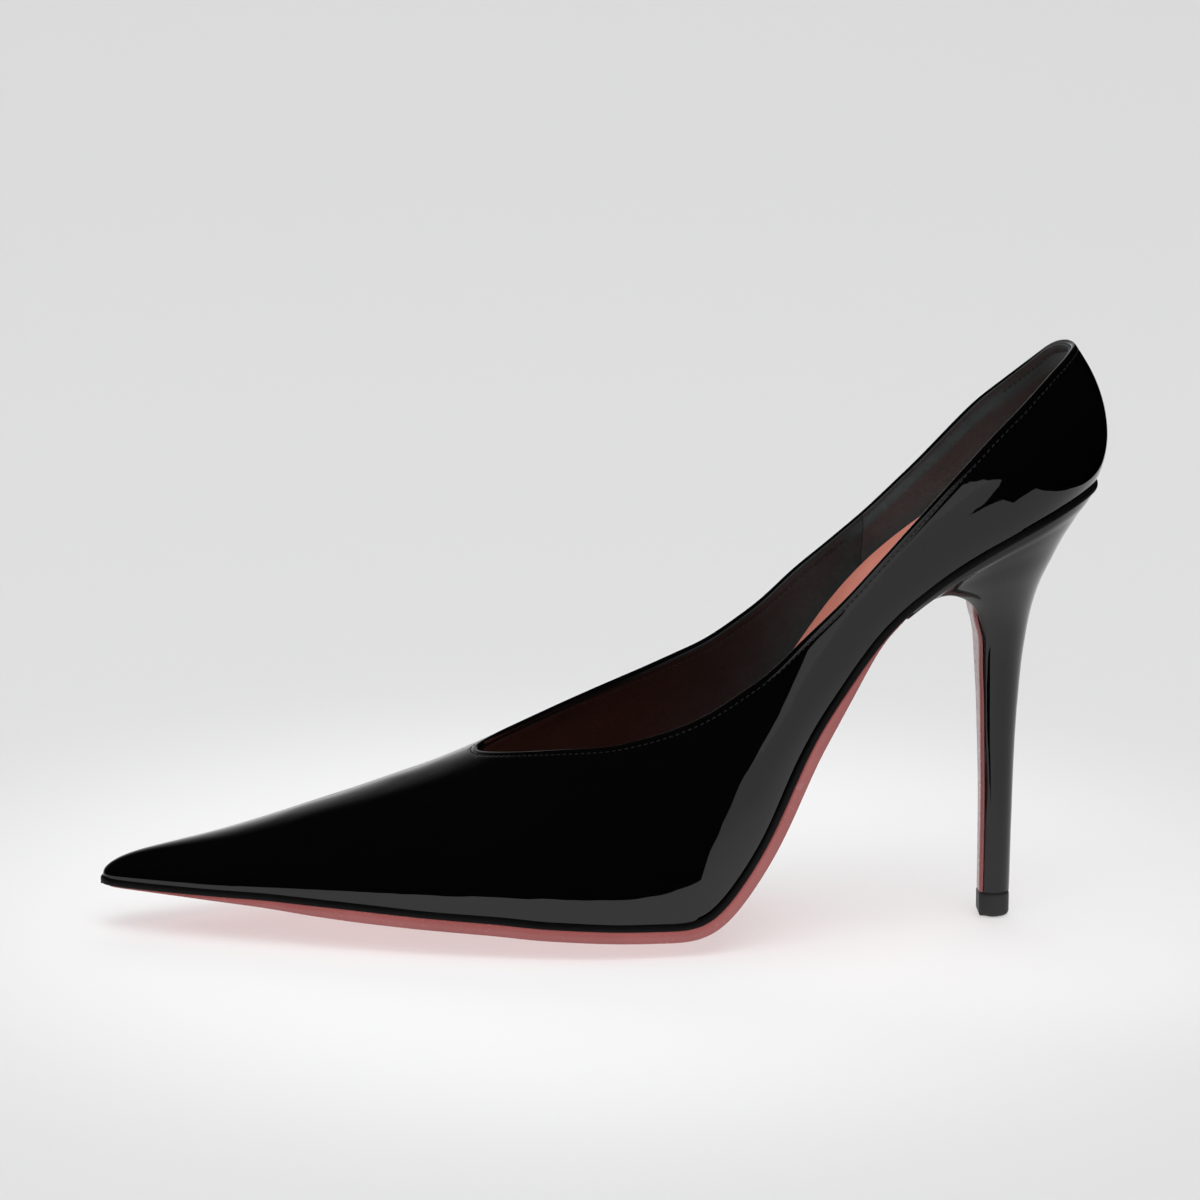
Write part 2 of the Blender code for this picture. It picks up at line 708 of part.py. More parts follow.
def make_bottom():
    board = layer("insole_board", "board", board_edge,
                  lambda a, y: bottom_z(a, y, UPPER_T + GAP + BOARD_T),
                  lambda a, y: bottom_z(a, y, UPPER_T + GAP), start=9.0, n=3)

    def sock_edge(a):
        return 2.95 + 1.1 * max(ramp(a, COUNTER_START - 12.0, COUNTER_START - 2.0),
                               1.0 - ramp(a, PUFF_END, PUFF_END + 9.0))

    foam_low = SOCK_LIFT

    def foam_t(a):
        return 0.3 + (FOAM_T - 0.3) * ramp(a, 48.0, 70.0)

    def foam_top(a, y):
        lo = bottom_z(a, y, foam_low)
        hi = bottom_z(a, y, foam_low + FOAM_T)
        k = (foam_t(a)) / FOAM_T
        return lo + (hi - lo) * k

    def sock_low(a, y):
        lo = bottom_z(a, y, foam_low)
        hi = bottom_z(a, y, foam_low + FOAM_T + GAP)
        return lo + (hi - lo) * ramp(a, 38.0, 66.0)

    def sock_low_safe(a, y):
        return max(sock_low(a, y), foam_top(a, y) + GAP * 1.0) if a > 47.0 else sock_low(a, y)

    def sock_top(a, y):
        lo = bottom_z(a, y, foam_low + SOCK_T)
        hi = bottom_z(a, y, foam_low + FOAM_T + GAP + SOCK_T)
        z = lo + (hi - lo) * ramp(a, 38.0, 66.0)
        return max(z, sock_low_safe(a, y) + SOCK_T)

    layer("sock_foam", "foam", sock_edge, foam_top, lambda a, y: bottom_z(a, y, foam_low),
          start=48.0, n=2)
    layer("sock", "coral", sock_edge, sock_top, sock_low_safe, start=30.0, n=3)

    layer("rand", "rand", lambda a: -RAND_LIP, lambda a, y: bottom_z(a, y, RAND_TOP),
          lambda a, y: bottom_z(a, y, RAND_BOT), edge=0.3, n=2, ring=MARGIN)

    def sole_in(a):
        hidden = 2.6 * ramp(a, 180.0, 190.0) + 2.4 * ramp(a, 191.0, 199.5)
        return -0.2 + 1.3 * (1.0 - ramp(a, 6.0, 30.0)) + hidden

    def sole_bot(a, y):
        t = sole_thickness(a)
        z0 = bottom_z(a, y, SOLE_TOP)
        z1 = bottom_z(a, y, SOLE_TOP - SOLE_T)
        return max(z0 + (z1 - z0) * t / SOLE_T, 0.0)

    layer("outsole", "coral", sole_in, lambda a, y: bottom_z(a, y, SOLE_TOP), sole_bot,
          end=SOLE_END, edge=0.5, n=4)

    def inner_half(a):
        return MARGIN + GAP + 0.25

    # fillers inside the margin
    fill_top = UPPER_T
    layer("bottom_filler", "foam", inner_half, lambda a, y: bottom_z(a, y, fill_top),
          lambda a, y: bottom_z(a, y, RAND_BOT), start=26.0, end=112.0, n=3)
    layer("waist_filler", "board", inner_half, lambda a, y: bottom_z(a, y, -0.7),
          lambda a, y: bottom_z(a, y, RAND_BOT), start=112.0 + GAP, n=3)
    return board


# ---------------------------------------------------------------- heel
# front edge (station, height, lateral half width), back line (station, height),
# station where the round back begins, half width there
HEEL = [
    ((193.4, None, 23.4), (240.2, None), 215.0, 23.4),
    ((193.9, 79.9, 23.0), (239.0, 104.4), 215.0, 23.0),
    ((195.5, 81.2, 22.3), (237.6, 102.6), 215.0, 22.4),
    ((197.8, 82.8, 21.3), (235.8, 99.9), 214.8, 21.6),
    ((200.6, 84.0, 20.0), (233.4, 96.0), 214.5, 20.4),
    ((204.1, 84.2, 17.8), (230.7, 90.6), 214.4, 18.7),
    ((207.6, 82.8, 15.0), (228.2, 85.4), 214.8, 16.3),
    ((210.2, 80.5, 12.4), (226.5, 80.6), 215.5, 13.9),
    ((212.0, 77.2, 10.3), (225.4, 76.0), 216.0, 11.6),
    ((213.2, 72.3, 8.4), (224.6, 71.0), 216.4, 9.6),
    ((213.8, 65.6, 6.8), (223.8, 65.0), 216.7, 7.9),
    ((214.3, 57.0, 5.6), (223.1, 56.4), 217.0, 6.6),
    ((214.7, 46.0, 4.7), (222.5, 46.0), 217.1, 5.6),
    ((215.1, 33.0, 3.9), (222.1, 33.0), 217.3, 4.9),
    ((215.2, 19.0, 3.5), (221.9, 19.0), 217.4, 4.5),
    ((215.2, TIP_Z, 3.3), (221.7, TIP_Z), 217.4, 4.4),
]
# the medial wing stands closer to the middle than the lateral one
MEDIAL_SHARE = [0.86, 0.862, 0.868, 0.885, 0.90, 0.92, 0.95, 0.975] + [1.0] * 8
SEAT_TOP = SOLE_TOP
SIDE_N = 6
BACK_N = 6


def narrow(side, k):
    return 1.0 if side < 0 else MEDIAL_SHARE[k]


def heel_loop(side, k, inset, front=None, lower=0.0):
    """One side of heel level k from the front edge to the middle of the back."""
    (ea, ez, ey), (ba, bz), axis, wide = HEEL[k]
    ey = ey * narrow(side, k) - inset
    w = wide - inset
    ba = ba - inset
    f_a, f_z = (ea, ez) if front is None else front
    pts = []
    for j in range(SIDE_N + 1):
        t = j / SIDE_N
        a = f_a + (axis - f_a) * t
        y = w - (w - ey) * (1.0 - t) ** 2
        pts.append((a, y))
    for j in range(1, BACK_N + 1):
        t = j / BACK_N * math.pi / 2
        pts.append((axis + (ba - axis) * math.sin(t), w * math.cos(t)))
    seat = seat_loop(side, inset, f_a if k == 0 else SEAT_START)
    z_first = seat[0][2]
    z_last = seat[-1][2]
    if k == 0:
        return seat
    fade = max(0.0, 1.0 - ramp(k, 0.0, 7.5))
    out = []
    for j, (a, y) in enumerate(pts):
        m = (a - f_a) / (ba - f_a)
        ms = (seat[j][0] - seat[0][0]) / (seat[-1][0] - seat[0][0])
        swell = seat[j][2] - (z_first + (z_last - z_first) * ms)
        z = f_z + (bz - f_z) * m + swell * fade
        out.append((a, side * y, z))
    return out


def seat_loop(side, inset, start):
    """Edge of the heel seat: outline of the form moved in, at the underside of the rand."""
    pts = []
    for j in range(SIDE_N + 1):
        a = start + (SEAT_AXIS - start) * j / SIDE_N
        y = side * (at(BASE_W[side], a) - 0.15 - inset)
        pts.append((a, y, bottom_z(a, y, SEAT_TOP)))
    b = at(BASE_W[side], SEAT_AXIS) - 0.15 - inset
    r = SEAT_RADIUS - 0.15 - inset
    for j in range(1, BACK_N + 1):
        t = j / BACK_N * math.pi / 2
        a = SEAT_AXIS + r * math.sin(t)
        y = side * b * math.cos(t)
        if j == BACK_N:
            y = 0.0
        yy = y if y != 0.0 else 1e-6 * side
        pts.append((a, y, bottom_z(a, yy, SEAT_TOP)))
    return pts


def contour(k, off):
    """Front edge of level k moved by off into the heel, in the side plane."""
    n = len(HEEL) - 1
    def raw(i):
        ea, ez = HEEL[i][0][0], HEEL[i][0][1]
        return ea, (bottom_z(ea, -20.0, SEAT_TOP) if ez is None else ez)
    p0 = raw(max(k - 1, 1))
    p1 = raw(min(k + 1, n))
    ta = p1[0] - p0[0]
    tz = p1[1] - p0[1]
    ln = math.hypot(ta, tz)
    a, z = raw(k)
    return a - tz / ln * off, z + ta / ln * off


BREAST_FIRST = 4
BREAST_OUT = [None, None, None, None, 0.3, 0.4, 0.4, 0.0, -1.2, -1.2, -1.2, -1.2, -1.2, -1.2,
              -1.2, -1.2]
BREAST_IN = [1.6, 1.6, 1.6, 1.6, 1.6, 1.7, 1.9, 2.1, 1.2, 0.1, 0.1, 0.1, 0.1, 0.1, 0.1, 0.1]
BREAST_START = SOLE_END + GAP + 0.1
BLOCK_FRONT = 203.4


def span_row(p, q, nf, seat):
    """Row of points from the lateral to the medial side, following the seat if asked."""
    row = [p]
    for j in range(1, nf):
        t = j / nf
        a = p[0] + (q[0] - p[0]) * t
        y = p[1] + (q[1] - p[1]) * t
        z = p[2] + (q[2] - p[2]) * t
        if seat:
            z = bottom_z(a, y if abs(y) > 1e-6 else 1e-6, SEAT_TOP)
        row.append((a, y, z))
    row.append(q)
    return row


def carve(ob, poly):
    """Remove everything inside a side-plane polygon, right across the width."""
    bm = bmesh.new()
    sides = []
    for y in (-45.0, 45.0):
        sides.append([bm.verts.new(((a - SHIFT_A) * 1e-3, y * 1e-3, z * 1e-3)) for a, z in poly])
    bm.faces.new(sides[0])
    bm.faces.new(list(reversed(sides[1])))
    for i in range(len(poly)):
        j = (i + 1) % len(poly)
        bm.faces.new((sides[0][j], sides[0][i], sides[1][i], sides[1][j]))
    bmesh.ops.triangulate(bm, faces=bm.faces)
    bmesh.ops.recalc_face_normals(bm, faces=bm.faces)
    mesh = bpy.data.meshes.new("carver")
    bm.to_mesh(mesh)
    bm.free()
    tool = bpy.data.objects.new("carver", mesh)
    bpy.context.scene.collection.objects.link(tool)
    tool.hide_render = True
    tool.display_type = "WIRE"
    subtract(ob, [tool])


def make_heel():
    n = len(HEEL)
    # wrap
    body = Patches()
    skin = {}
    for side in (-1, 1):
        outer = [heel_loop(side, k, 0.0) for k in range(n)]
        inner = [heel_loop(side, k, WRAP_T) for k in range(n)]
        body.grid(outer, flip=side > 0)
        body.grid(inner, flip=side > 0)
        body.grid([outer[0], inner[0]])
        body.grid([outer[-1], inner[-1]])
        body.grid([[r[0] for r in outer], [r[0] for r in inner]])
        skin[side] = (outer, inner)
    body.build("heel_wrap", "patent")

    # block: full heel inside the wrap, front carved to the back of the breast cover
    body = Patches()
    inset = WRAP_T + GAP
    nf = 4
    loops = []
    for k in range(n):
        front = None if k < 9 else contour(k, -0.4)
        loops.append({side: heel_loop(side, k, inset, front) for side in (-1, 1)})
    for side in (-1, 1):
        body.grid([loops[k][side] for k in range(n)], flip=side > 0)
    front_rows = []
    for k in range(n):
        front_rows.append(span_row(loops[k][-1][0], loops[k][1][0], nf, k == 0))
    body.grid(front_rows)
    m = len(loops[0][-1])
    body.grid([span_row(loops[0][-1][j], loops[0][1][j], nf, True) for j in range(m)])
    body.grid([span_row(loops[-1][-1][j], loops[-1][1][j], nf, False) for j in range(m)])
    block = body.build("heel_block", "abs")
    edge = []
    for k in range(BREAST_FIRST, n):
        out = BREAST_OUT[k]
        a, z = contour(k, max(out + BREAST_T + GAP + 0.1, 0.05))
        if a > BLOCK_FRONT + 0.3:
            edge.append((a, z))
    first = edge[0]
    slope = (edge[1][1] - edge[0][1]) / (edge[1][0] - edge[0][0])
    poly = [(150.0, 115.0), (BLOCK_FRONT, 115.0),
            (BLOCK_FRONT, first[1] - slope * (first[0] - BLOCK_FRONT))] + edge
    poly += [(edge[-1][0], -3.0), (150.0, -3.0)]
    carve(block, poly)

    # coral breast cover: outer and inner sheets across the front
    body = Patches()
    sheets = []
    for extra in (0.0, BREAST_T):
        rows = []
        for k in range(BREAST_FIRST, n):
            a, z = contour(k, BREAST_OUT[k] + extra)
            a = max(a, BREAST_START)
            row = []
            lat = HEEL[k][0][2] * narrow(-1, k)
            med = HEEL[k][0][2] * narrow(1, k)
            inn = BREAST_IN[k]
            for j in range(nf + 1):
                t = j / nf
                row.append((a, -(lat - inn) + (lat + med - 2 * inn) * t, z))
            rows.append(row)
        sheets.append(rows)
        body.grid(rows)
    o, i = sheets
    body.grid([o[0], i[0]])
    body.grid([o[-1], i[-1]])
    body.grid([[r[0] for r in o], [r[0] for r in i]])
    body.grid([[r[-1] for r in o], [r[-1] for r in i]])
    body.build("breast_cover", "coral")

    # top lift
    body = Patches()
    lift = {}
    for side in (-1, 1):
        rows = []
        for z, inn in ((0.0, 1.0), (0.35, 0.35), (1.1, 0.0), (LIFT_H, 0.0)):
            base = heel_loop(side, n - 1, inn)
            rows.append([(214.0 + inn, 0.0, z), (214.0 + inn, base[0][1], z)]
                        + [(p[0], p[1], z) for p in base[1:]])
        lift[side] = rows
        body.grid(rows, flip=side > 0)
    for z_i in (0, -1):
        body.grid([lift[-1][z_i], lift[1][z_i]])
    top_lift = body.build("top_lift", "lift")
    cut(top_lift, [((PIN_A, 0.0, 0.0), (0, 0, 1), PIN_R + GAP, 1.7, LIFT_H + 2.0)])

    turned("top_lift_pin", "steel", [(PIN_R, 2.0), (PIN_R, 20.0)], (PIN_A, 0.0, 0.0), seg=12)
    tube_top = 68.0
    turned("heel_tube", "steel", [(TUBE_R, TIP_Z + GAP), (TUBE_R, tube_top),
                                  (TUBE_BORE, tube_top), (TUBE_BORE, TIP_Z + GAP)],
           (PIN_A, 0.0, 0.0), seg=16, ring=True)
    return block


FASTENERS = [
    ("heel_screw", 216.0, 0.0, 1.9, 2.8, 22.0),
    ("heel_nail_1", 209.0, -9.5, 1.0, 1.6, 7.0),
    ("heel_nail_2", 209.0, 9.5, 1.0, 1.6, 7.0),
    ("heel_nail_3", 222.0, -8.5, 1.0, 1.6, 12.0),
    ("heel_nail_4", 222.0, 8.5, 1.0, 1.6, 12.0),
]


def fasten(block, pieces):
    """Screw and nails go straight down through board and filler into the block."""
    cuts = {"insole_board": [], "waist_filler": [], "heel_block": []}
    up = (0.0, 0.0, 1.0)
    for name, a, y, r, head, depth in FASTENERS:
        yy = y if y else 1e-6
        board_low = bottom_z(a, yy, UPPER_T + GAP)
        seat = bottom_z(a, yy, SEAT_TOP)
        h0 = board_low - (0.6 if head > 2.0 else 0.2)
        h1 = h0 + 0.75
        turned(name, "steel", [(0.35 * r, seat - depth), (r, seat - depth + 1.4 * r),
                               (r, h0), (head, h0), (head, h1)], (a, y, 0.0), up, seg=12)
        cuts["insole_board"].append(((a, y, 0.0), up, head + GAP, board_low - 9.0, h1 + 9.0))
        cuts["waist_filler"].append(((a, y, 0.0), up, r + GAP, seat - 9.0, board_low + 9.0))
        cuts["heel_block"].append(((a, y, 0.0), up, r + GAP, seat - depth - 0.5, seat + 12.0))
    cuts["heel_block"].append(((PIN_A, 0.0, 0.0), up, TUBE_R + GAP, -5.0, 68.4))
    # shank with two rivets through the board
    holes = []
    for name, a in (("shank_rivet_front", 128.0), ("shank_rivet_rear", 188.0)):
        z0 = bottom_z(a, 1e-6, 0.0)
        dz = at(level(0.0), a + 1.0) - at(level(0.0), a - 1.0)
        nrm = Vector((-dz, 0.0, 2.0)).normalized()
        turned(name, "steel", [(1.2, 0.0), (1.2, UPPER_T + GAP + BOARD_T - 0.35)],
               (a, 0.0, z0), tuple(nrm), seg=12)
        holes.append(((a, 0.0, z0), tuple(nrm), 1.2 + GAP, -9.0, 12.0))
        cuts["insole_board"].append(((a, 0.0, z0), tuple(nrm), 1.2 + GAP, -9.0, 12.0))
    body = Patches()
    sheets = []
    sts = [a for a in COMMON if 116.0 < a < 202.0]
    for d in (0.0, UPPER_T):
        rows = []
        for a in sts:
            w = 5.5 if 120.0 < a < 197.0 else 4.2
            rows.append([(a, y, bottom_z(a, y if abs(y) > 1e-6 else 1e-6, d))
                         for y in (-w, 0.0, w)])
        body.grid(rows)
        sheets.append(rows)
    lo, hi = sheets
    body.grid([lo[0], hi[0]])
    body.grid([lo[-1], hi[-1]])
    body.grid([[r[0] for r in lo], [r[0] for r in hi]])
    body.grid([[r[-1] for r in lo], [r[-1] for r in hi]])
    shank = body.build("shank", "steel")
    cut(shank, holes)
    cut(pieces["insole_board"], cuts["insole_board"])
    cut(pieces["waist_filler"], cuts["waist_filler"])
    cut(block, cuts["heel_block"])


make_upper()
make_walls()
make_bottom()
heel_block = make_heel()
fasten(heel_block, {name: bpy.data.objects[name] for name in ("insole_board", "waist_filler")})
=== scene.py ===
"""Looks of the stiletto pump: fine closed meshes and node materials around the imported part."""
import math
import bpy
import bmesh
import numpy as np
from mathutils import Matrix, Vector, noise
from mathutils.bvhtree import BVHTree
from mathutils.kdtree import KDTree


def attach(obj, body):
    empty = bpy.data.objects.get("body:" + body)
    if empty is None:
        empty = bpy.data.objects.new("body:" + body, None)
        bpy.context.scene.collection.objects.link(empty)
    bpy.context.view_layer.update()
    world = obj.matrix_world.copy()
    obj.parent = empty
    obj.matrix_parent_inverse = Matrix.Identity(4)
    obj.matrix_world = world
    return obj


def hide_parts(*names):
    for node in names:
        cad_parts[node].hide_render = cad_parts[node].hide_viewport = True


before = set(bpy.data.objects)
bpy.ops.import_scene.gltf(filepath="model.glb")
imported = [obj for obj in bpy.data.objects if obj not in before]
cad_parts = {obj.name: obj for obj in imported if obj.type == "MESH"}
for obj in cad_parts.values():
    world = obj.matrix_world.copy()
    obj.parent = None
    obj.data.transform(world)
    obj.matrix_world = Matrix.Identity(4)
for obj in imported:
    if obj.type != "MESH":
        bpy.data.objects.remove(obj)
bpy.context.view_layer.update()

# ---------------------------------------------------------------- shared dimensions (mm)
# Shapes are written as (a, y, z): a runs from the toe tip to the heel, y to the medial side.
GAP = 0.3
SHIFT_A = 121.39
SHIFT_Y = -0.57
SEAT_AXIS = 215.0
SEAT_RADIUS = 25.7
RUN_END = SEAT_AXIS + SEAT_RADIUS * math.pi / 2
POLE_Z = 12.7
UPPER_T = 1.2
PUFF_T = 0.6
COUNTER_T = 1.0
LINING_T = 0.7
MARGIN = 10.0
BOARD_T = 1.7
FOAM_T = 1.6
SOCK_T = 0.8
RAND_T = 1.5
SOLE_T = 2.8
SOLE_END = 199.0
SEAT_START = 193.4
WRAP_T = 0.7
BREAST_T = 0.9
LIFT_H = 6.0
TIP_Z = 6.3
THROAT = 91.0
LINING_JOINT = 186.0
COUNTER_START = 188.0
PUFF_END = 34.0

STEP = 0.25
XS = np.arange(-60.0, 320.0, STEP)


def smoothed(ys, sigma):
    n = int(4 * sigma / STEP)
    k = np.exp(-0.5 * (np.arange(-n, n + 1) * STEP / sigma) ** 2)
    return np.convolve(np.pad(ys, n, mode="edge"), k / k.sum(), "valid")


def table(points, sigma):
    return smoothed(np.interp(XS, [p[0] for p in points], [p[1] for p in points]), sigma)


def at(tab, a):
    return np.interp(a, XS, tab)


def ramp(x, lo, hi):
    t = np.clip((np.asarray(x, float) - lo) / (hi - lo), 0.0, 1.0)
    return t * t * (3.0 - 2.0 * t)


WIDE = {
    -1: table([(-60, 1.9), (0, 1.95), (3, 2.05), (10, 2.3), (25, 2.72), (50, 3.12), (75, 3.40),
               (100, 3.46), (120, 3.33), (140, 2.92), (160, 2.37), (180, 1.95), (195, 1.73),
               (205, 1.645), (215, 1.602), (240, 1.60), (320, 1.6)], 5.0),
    1: table([(-60, 1.9), (0, 1.95), (3, 2.1), (10, 2.4), (25, 2.9), (50, 3.42), (75, 3.66),
              (95, 3.66), (110, 3.36), (130, 2.62), (150, 1.95), (170, 1.52), (190, 1.47),
              (205, 1.52), (215, 1.575), (240, 1.60), (320, 1.6)], 5.0),
}
FEATHER = table([(-60, 12.2), (0, 12.3), (21, 12.5), (40, 12.7), (60, 11.9), (79, 11.0),
                 (96, 10.3), (105, 9.5), (120, 8.9), (127, 8.6), (135, 8.5), (141, 8.3),
                 (146, 9.6), (150, 14.0), (156.5, 23.4), (161, 31.8), (165, 41.6),
                 (169, 50.8), (174, 58.8), (178, 64.7), (182, 70.5), (186, 75.6),
                 (189, 79.2), (193, 82.9), (196.5, 85.7), (200, 88.4), (203, 90.6),
                 (212, 96.3), (219, 100.3), (227, 104.1), (233, 106.9), (240, 109.4),
                 (260, 109.4)], 2.6)
RIDGE_K = table([(-60, 2.1), (0, 2.1), (5.7, 2.02), (14, 1.80), (27, 1.84), (40, 2.07),
                 (53, 2.32), (66, 2.58), (79.4, 2.84), (91.2, 3.13), (105, 3.56),
                 (121, 4.15), (135, 4.85), (150, 5.85), (165, 7.05), (180, 8.1),
                 (192, 8.85), (203, 9.3), (215, 9.68), (320, 9.68)], 5.0)
RIDGE_Y = table([(-60, 0.0), (25, 0.0), (60, 1.2), (90, 2.8), (110, 3.6), (135, 3.6),
                 (165, 2.0), (195, 0.3), (215, 0.0), (320, 0.0)], 8.0)
LEAN = table([(-60, 8), (0, 8), (40, 8), (80, 12), (120, 17), (140, 18), (160, 14),
              (185, 14), (200, 18), (215, 22), (235, 27), (255, 30), (300, 30)], 7.0)
HANDLE_LOW = table([(-60, .60), (0, .60), (90, .60), (120, .56), (150, .50), (180, .48),
                    (215, .44), (255, .42), (300, .42)], 8.0)
HANDLE_TOP = table([(-60, .50), (0, .52), (40, .56), (90, .62), (120, .60), (160, .62),
                    (190, .66), (215, .68), (255, .70), (300, .70)], 8.0)
CROWN = table([(-60, 0.0), (0, 0.0), (12, 0.9), (30, 2.0), (60, 2.8), (90, 3.3), (108, 3.7),
               (121, 4.2), (133, 4.25), (142, 3.5), (150, 2.6), (165, 1.6), (180, 0.7),
               (192, 0.3), (215, 0.3), (320, 0.3)], 6.0)
TOPS = {
    -1: table([(60, .062), (91, .062), (97, .067), (103, .0695), (121, .0725), (133, .0700),
               (145, .0672), (153, .0680), (162, .0725), (171, .0775), (180, .0787),
               (189, .0763), (198, .0699), (209, .0607), (216, .0544), (225, .0448),
               (231, .0401), (237, .0370), (242, .0350), (246, .0337), (256, .0321),
               (300, .0321)], 3.0),
    1: table([(60, .062), (91, .060), (98, .056), (104, .0515), (110, .0495), (117, .0492),
              (123, .0505), (129, .0525), (142, .0550), (156, .0603), (165, .0662),
              (175, .0713), (184, .0740), (189, .0742), (200, .0690), (211, .0609),
              (218, .0553), (226, .0469), (236, .0378), (242, .0350), (246, .0337),
              (256, .0321), (300, .0321)], 3.0),
}

ROOT = np.sqrt(np.maximum(XS, 0.0))


def settle(w):
    """Half width that arrives at the seat axis without a slope, so the back joins smoothly."""
    a0 = SEAT_AXIS - 17.0
    h = SEAT_AXIS - a0
    w0 = at(w, a0)
    s0 = (at(w, a0 + STEP) - at(w, a0 - STEP)) / (2 * STEP)
    w1 = at(w, SEAT_AXIS)
    t = np.clip((XS - a0) / h, 0.0, 1.0)
    curve = ((2 * t ** 3 - 3 * t ** 2 + 1) * w0 + (t ** 3 - 2 * t ** 2 + t) * h * s0
             + (3 * t ** 2 - 2 * t ** 3) * w1)
    return np.where(XS > a0, curve, w)


HALF = {s: settle(WIDE[s] * ROOT) for s in (-1, 1)}
RIDGE = POLE_Z + RIDGE_K * ROOT
RIDGE = smoothed(np.where(XS > SEAT_AXIS, at(RIDGE, SEAT_AXIS), RIDGE), 3.0) * ramp(XS, 150, 190) \
    + RIDGE * (1.0 - ramp(XS, 150, 190))
CLOSE = np.exp(-np.maximum(XS, 0.0) / 1.2)
FLOOR = np.where(XS < 0, POLE_Z, FEATHER * (1 - CLOSE) + POLE_Z * CLOSE)


def moved(f, d, start=-60.0):
    """Curve f moved by d along its normal, up if d is positive."""
    g = np.where(XS < start - 1e-9, -1e3, f)
    sign = 1.0 if d > 0 else -1.0
    out = np.full_like(g, -1e9 * sign)
    n = int(abs(d) / STEP)
    pick = np.maximum if d > 0 else np.minimum
    for k in range(-n, n + 1):
        out = pick(out, np.roll(g, -k) + sign * math.sqrt(max(d * d - (k * STEP) ** 2, 0.0)))
    return out


LEVELS = {0.0: FEATHER}
OUTLINES = {0.0: HALF}


def level(d):
    key = round(float(d), 3)
    if key not in LEVELS:
        LEVELS[key] = smoothed(moved(FEATHER, key), 0.6)
    return LEVELS[key]


def outline(inset):
    """Half widths of the bottom outline moved inwards."""
    key = round(float(inset), 2)
    if key not in OUTLINES:
        OUTLINES[key] = {s: moved(HALF[s], -key, 0.0) for s in (-1, 1)}
    return OUTLINES[key]


def half_at(side, a, inset):
    """Half width at stations a for insets that may differ from station to station."""
    a, inset = np.broadcast_arrays(np.asarray(a, float), np.asarray(inset, float))
    lo = np.floor(inset / 0.5) * 0.5
    k = (inset - lo) / 0.5
    out = np.zeros(a.shape)
    for base in np.unique(lo):
        m = lo == base
        w0 = at(outline(base)[side], a[m])
        w1 = at(outline(base + 0.5)[side], a[m])
        out[m] = w0 * (1 - k[m]) + w1 * k[m]
    return np.maximum(out, 0.0)


def bottom_z(a, y, d):
    """Height of the bottom surface moved by d along its normal."""
    a, y = np.broadcast_arrays(np.asarray(a, float), np.asarray(y, float))
    w = np.where(y < 0, at(HALF[-1], np.minimum(a, SEAT_AXIS)),
                 at(HALF[1], np.minimum(a, SEAT_AXIS)))
    r = np.hypot(np.maximum(a - SEAT_AXIS, 0.0) / SEAT_RADIUS, y / np.maximum(w, 0.5))
    r = np.minimum(r, 1.3)
    return at(level(d), a) - at(CROWN, a) * (1.0 - r * r)


def foot_ray(side, run):
    """Outline at run: its station on the axis, then the offsets and distance from there."""
    q = np.clip(run, 0.0, SEAT_AXIS)
    t = np.maximum(run - SEAT_AXIS, 0.0) / SEAT_RADIUS
    x = SEAT_RADIUS * np.sin(t)
    y = at(HALF[side], q) * np.cos(t)
    return q, x, y, np.maximum(np.hypot(x, y), 1e-9)


def wall(side, run, v):
    """Outer surface of the upper; v goes from the feather edge 0 to the ridge 1."""
    run, v = np.broadcast_arrays(np.asarray(run, float), np.asarray(v, float))
    q, x, y, r = foot_ray(side, run)
    z0 = at(FLOOR, q + x)
    z1 = at(RIDGE, run)
    yr = at(RIDGE_Y, run) * side
    lean = np.radians(at(LEAN, run))
    h = at(HANDLE_LOW, run) * (z1 - z0)
    top = yr + at(HANDLE_TOP, run) * (r - yr)
    c0 = (1 - v) ** 3
    c1 = 3 * v * (1 - v) ** 2
    c2 = 3 * v * v * (1 - v)
    c3 = v ** 3
    rr = c0 * r + c1 * (r + h * np.sin(lean)) + c2 * top + c3 * yr
    zz = c0 * z0 + c1 * (z0 + h * np.cos(lean)) + c2 * z1 + c3 * z1
    return np.stack([q + x / r * rr, side * y / r * rr, zz], -1)


def wall_normal(side, run, v):
    run = np.maximum(np.asarray(run, float), 0.02)
    e = np.minimum(0.12, 0.4 * run)
    du = wall(side, run + e, v) - wall(side, run - e, v)
    dv = wall(side, run, np.asarray(v) + 0.002) - wall(side, run, np.asarray(v) - 0.002)
    n = np.cross(du, dv) * -side
    return unit(n, 1e-12)


def top_v(side, run):
    d = np.maximum(np.asarray(run, float) - THROAT, 0.0)
    return 1.0 - at(TOPS[side], run) * np.sqrt(d)


# ---------------------------------------------------------------- mesh helpers
def unit(v, least=0.0):
    return v / np.maximum(np.linalg.norm(v, axis=-1, keepdims=True), least)


def off_centre(y, side):
    """y kept on its own side of the middle, where the bottom surface changes width."""
    return np.where(np.abs(y) < 1e-6, 1e-6 * side, y)


def share(one, two, where):
    """Gives both sides of the shoe the same points, halfway between."""
    one[where] = two[where] = 0.5 * (one[where] + two[where])


def to_row(p):
    """From (a, y, z) in mm to the row frame in metres."""
    return (np.asarray(p, float) - np.array([SHIFT_A, SHIFT_Y, 0.0])) * 1e-3


WELD = 2.0e-6             # metres; points closer than this become one


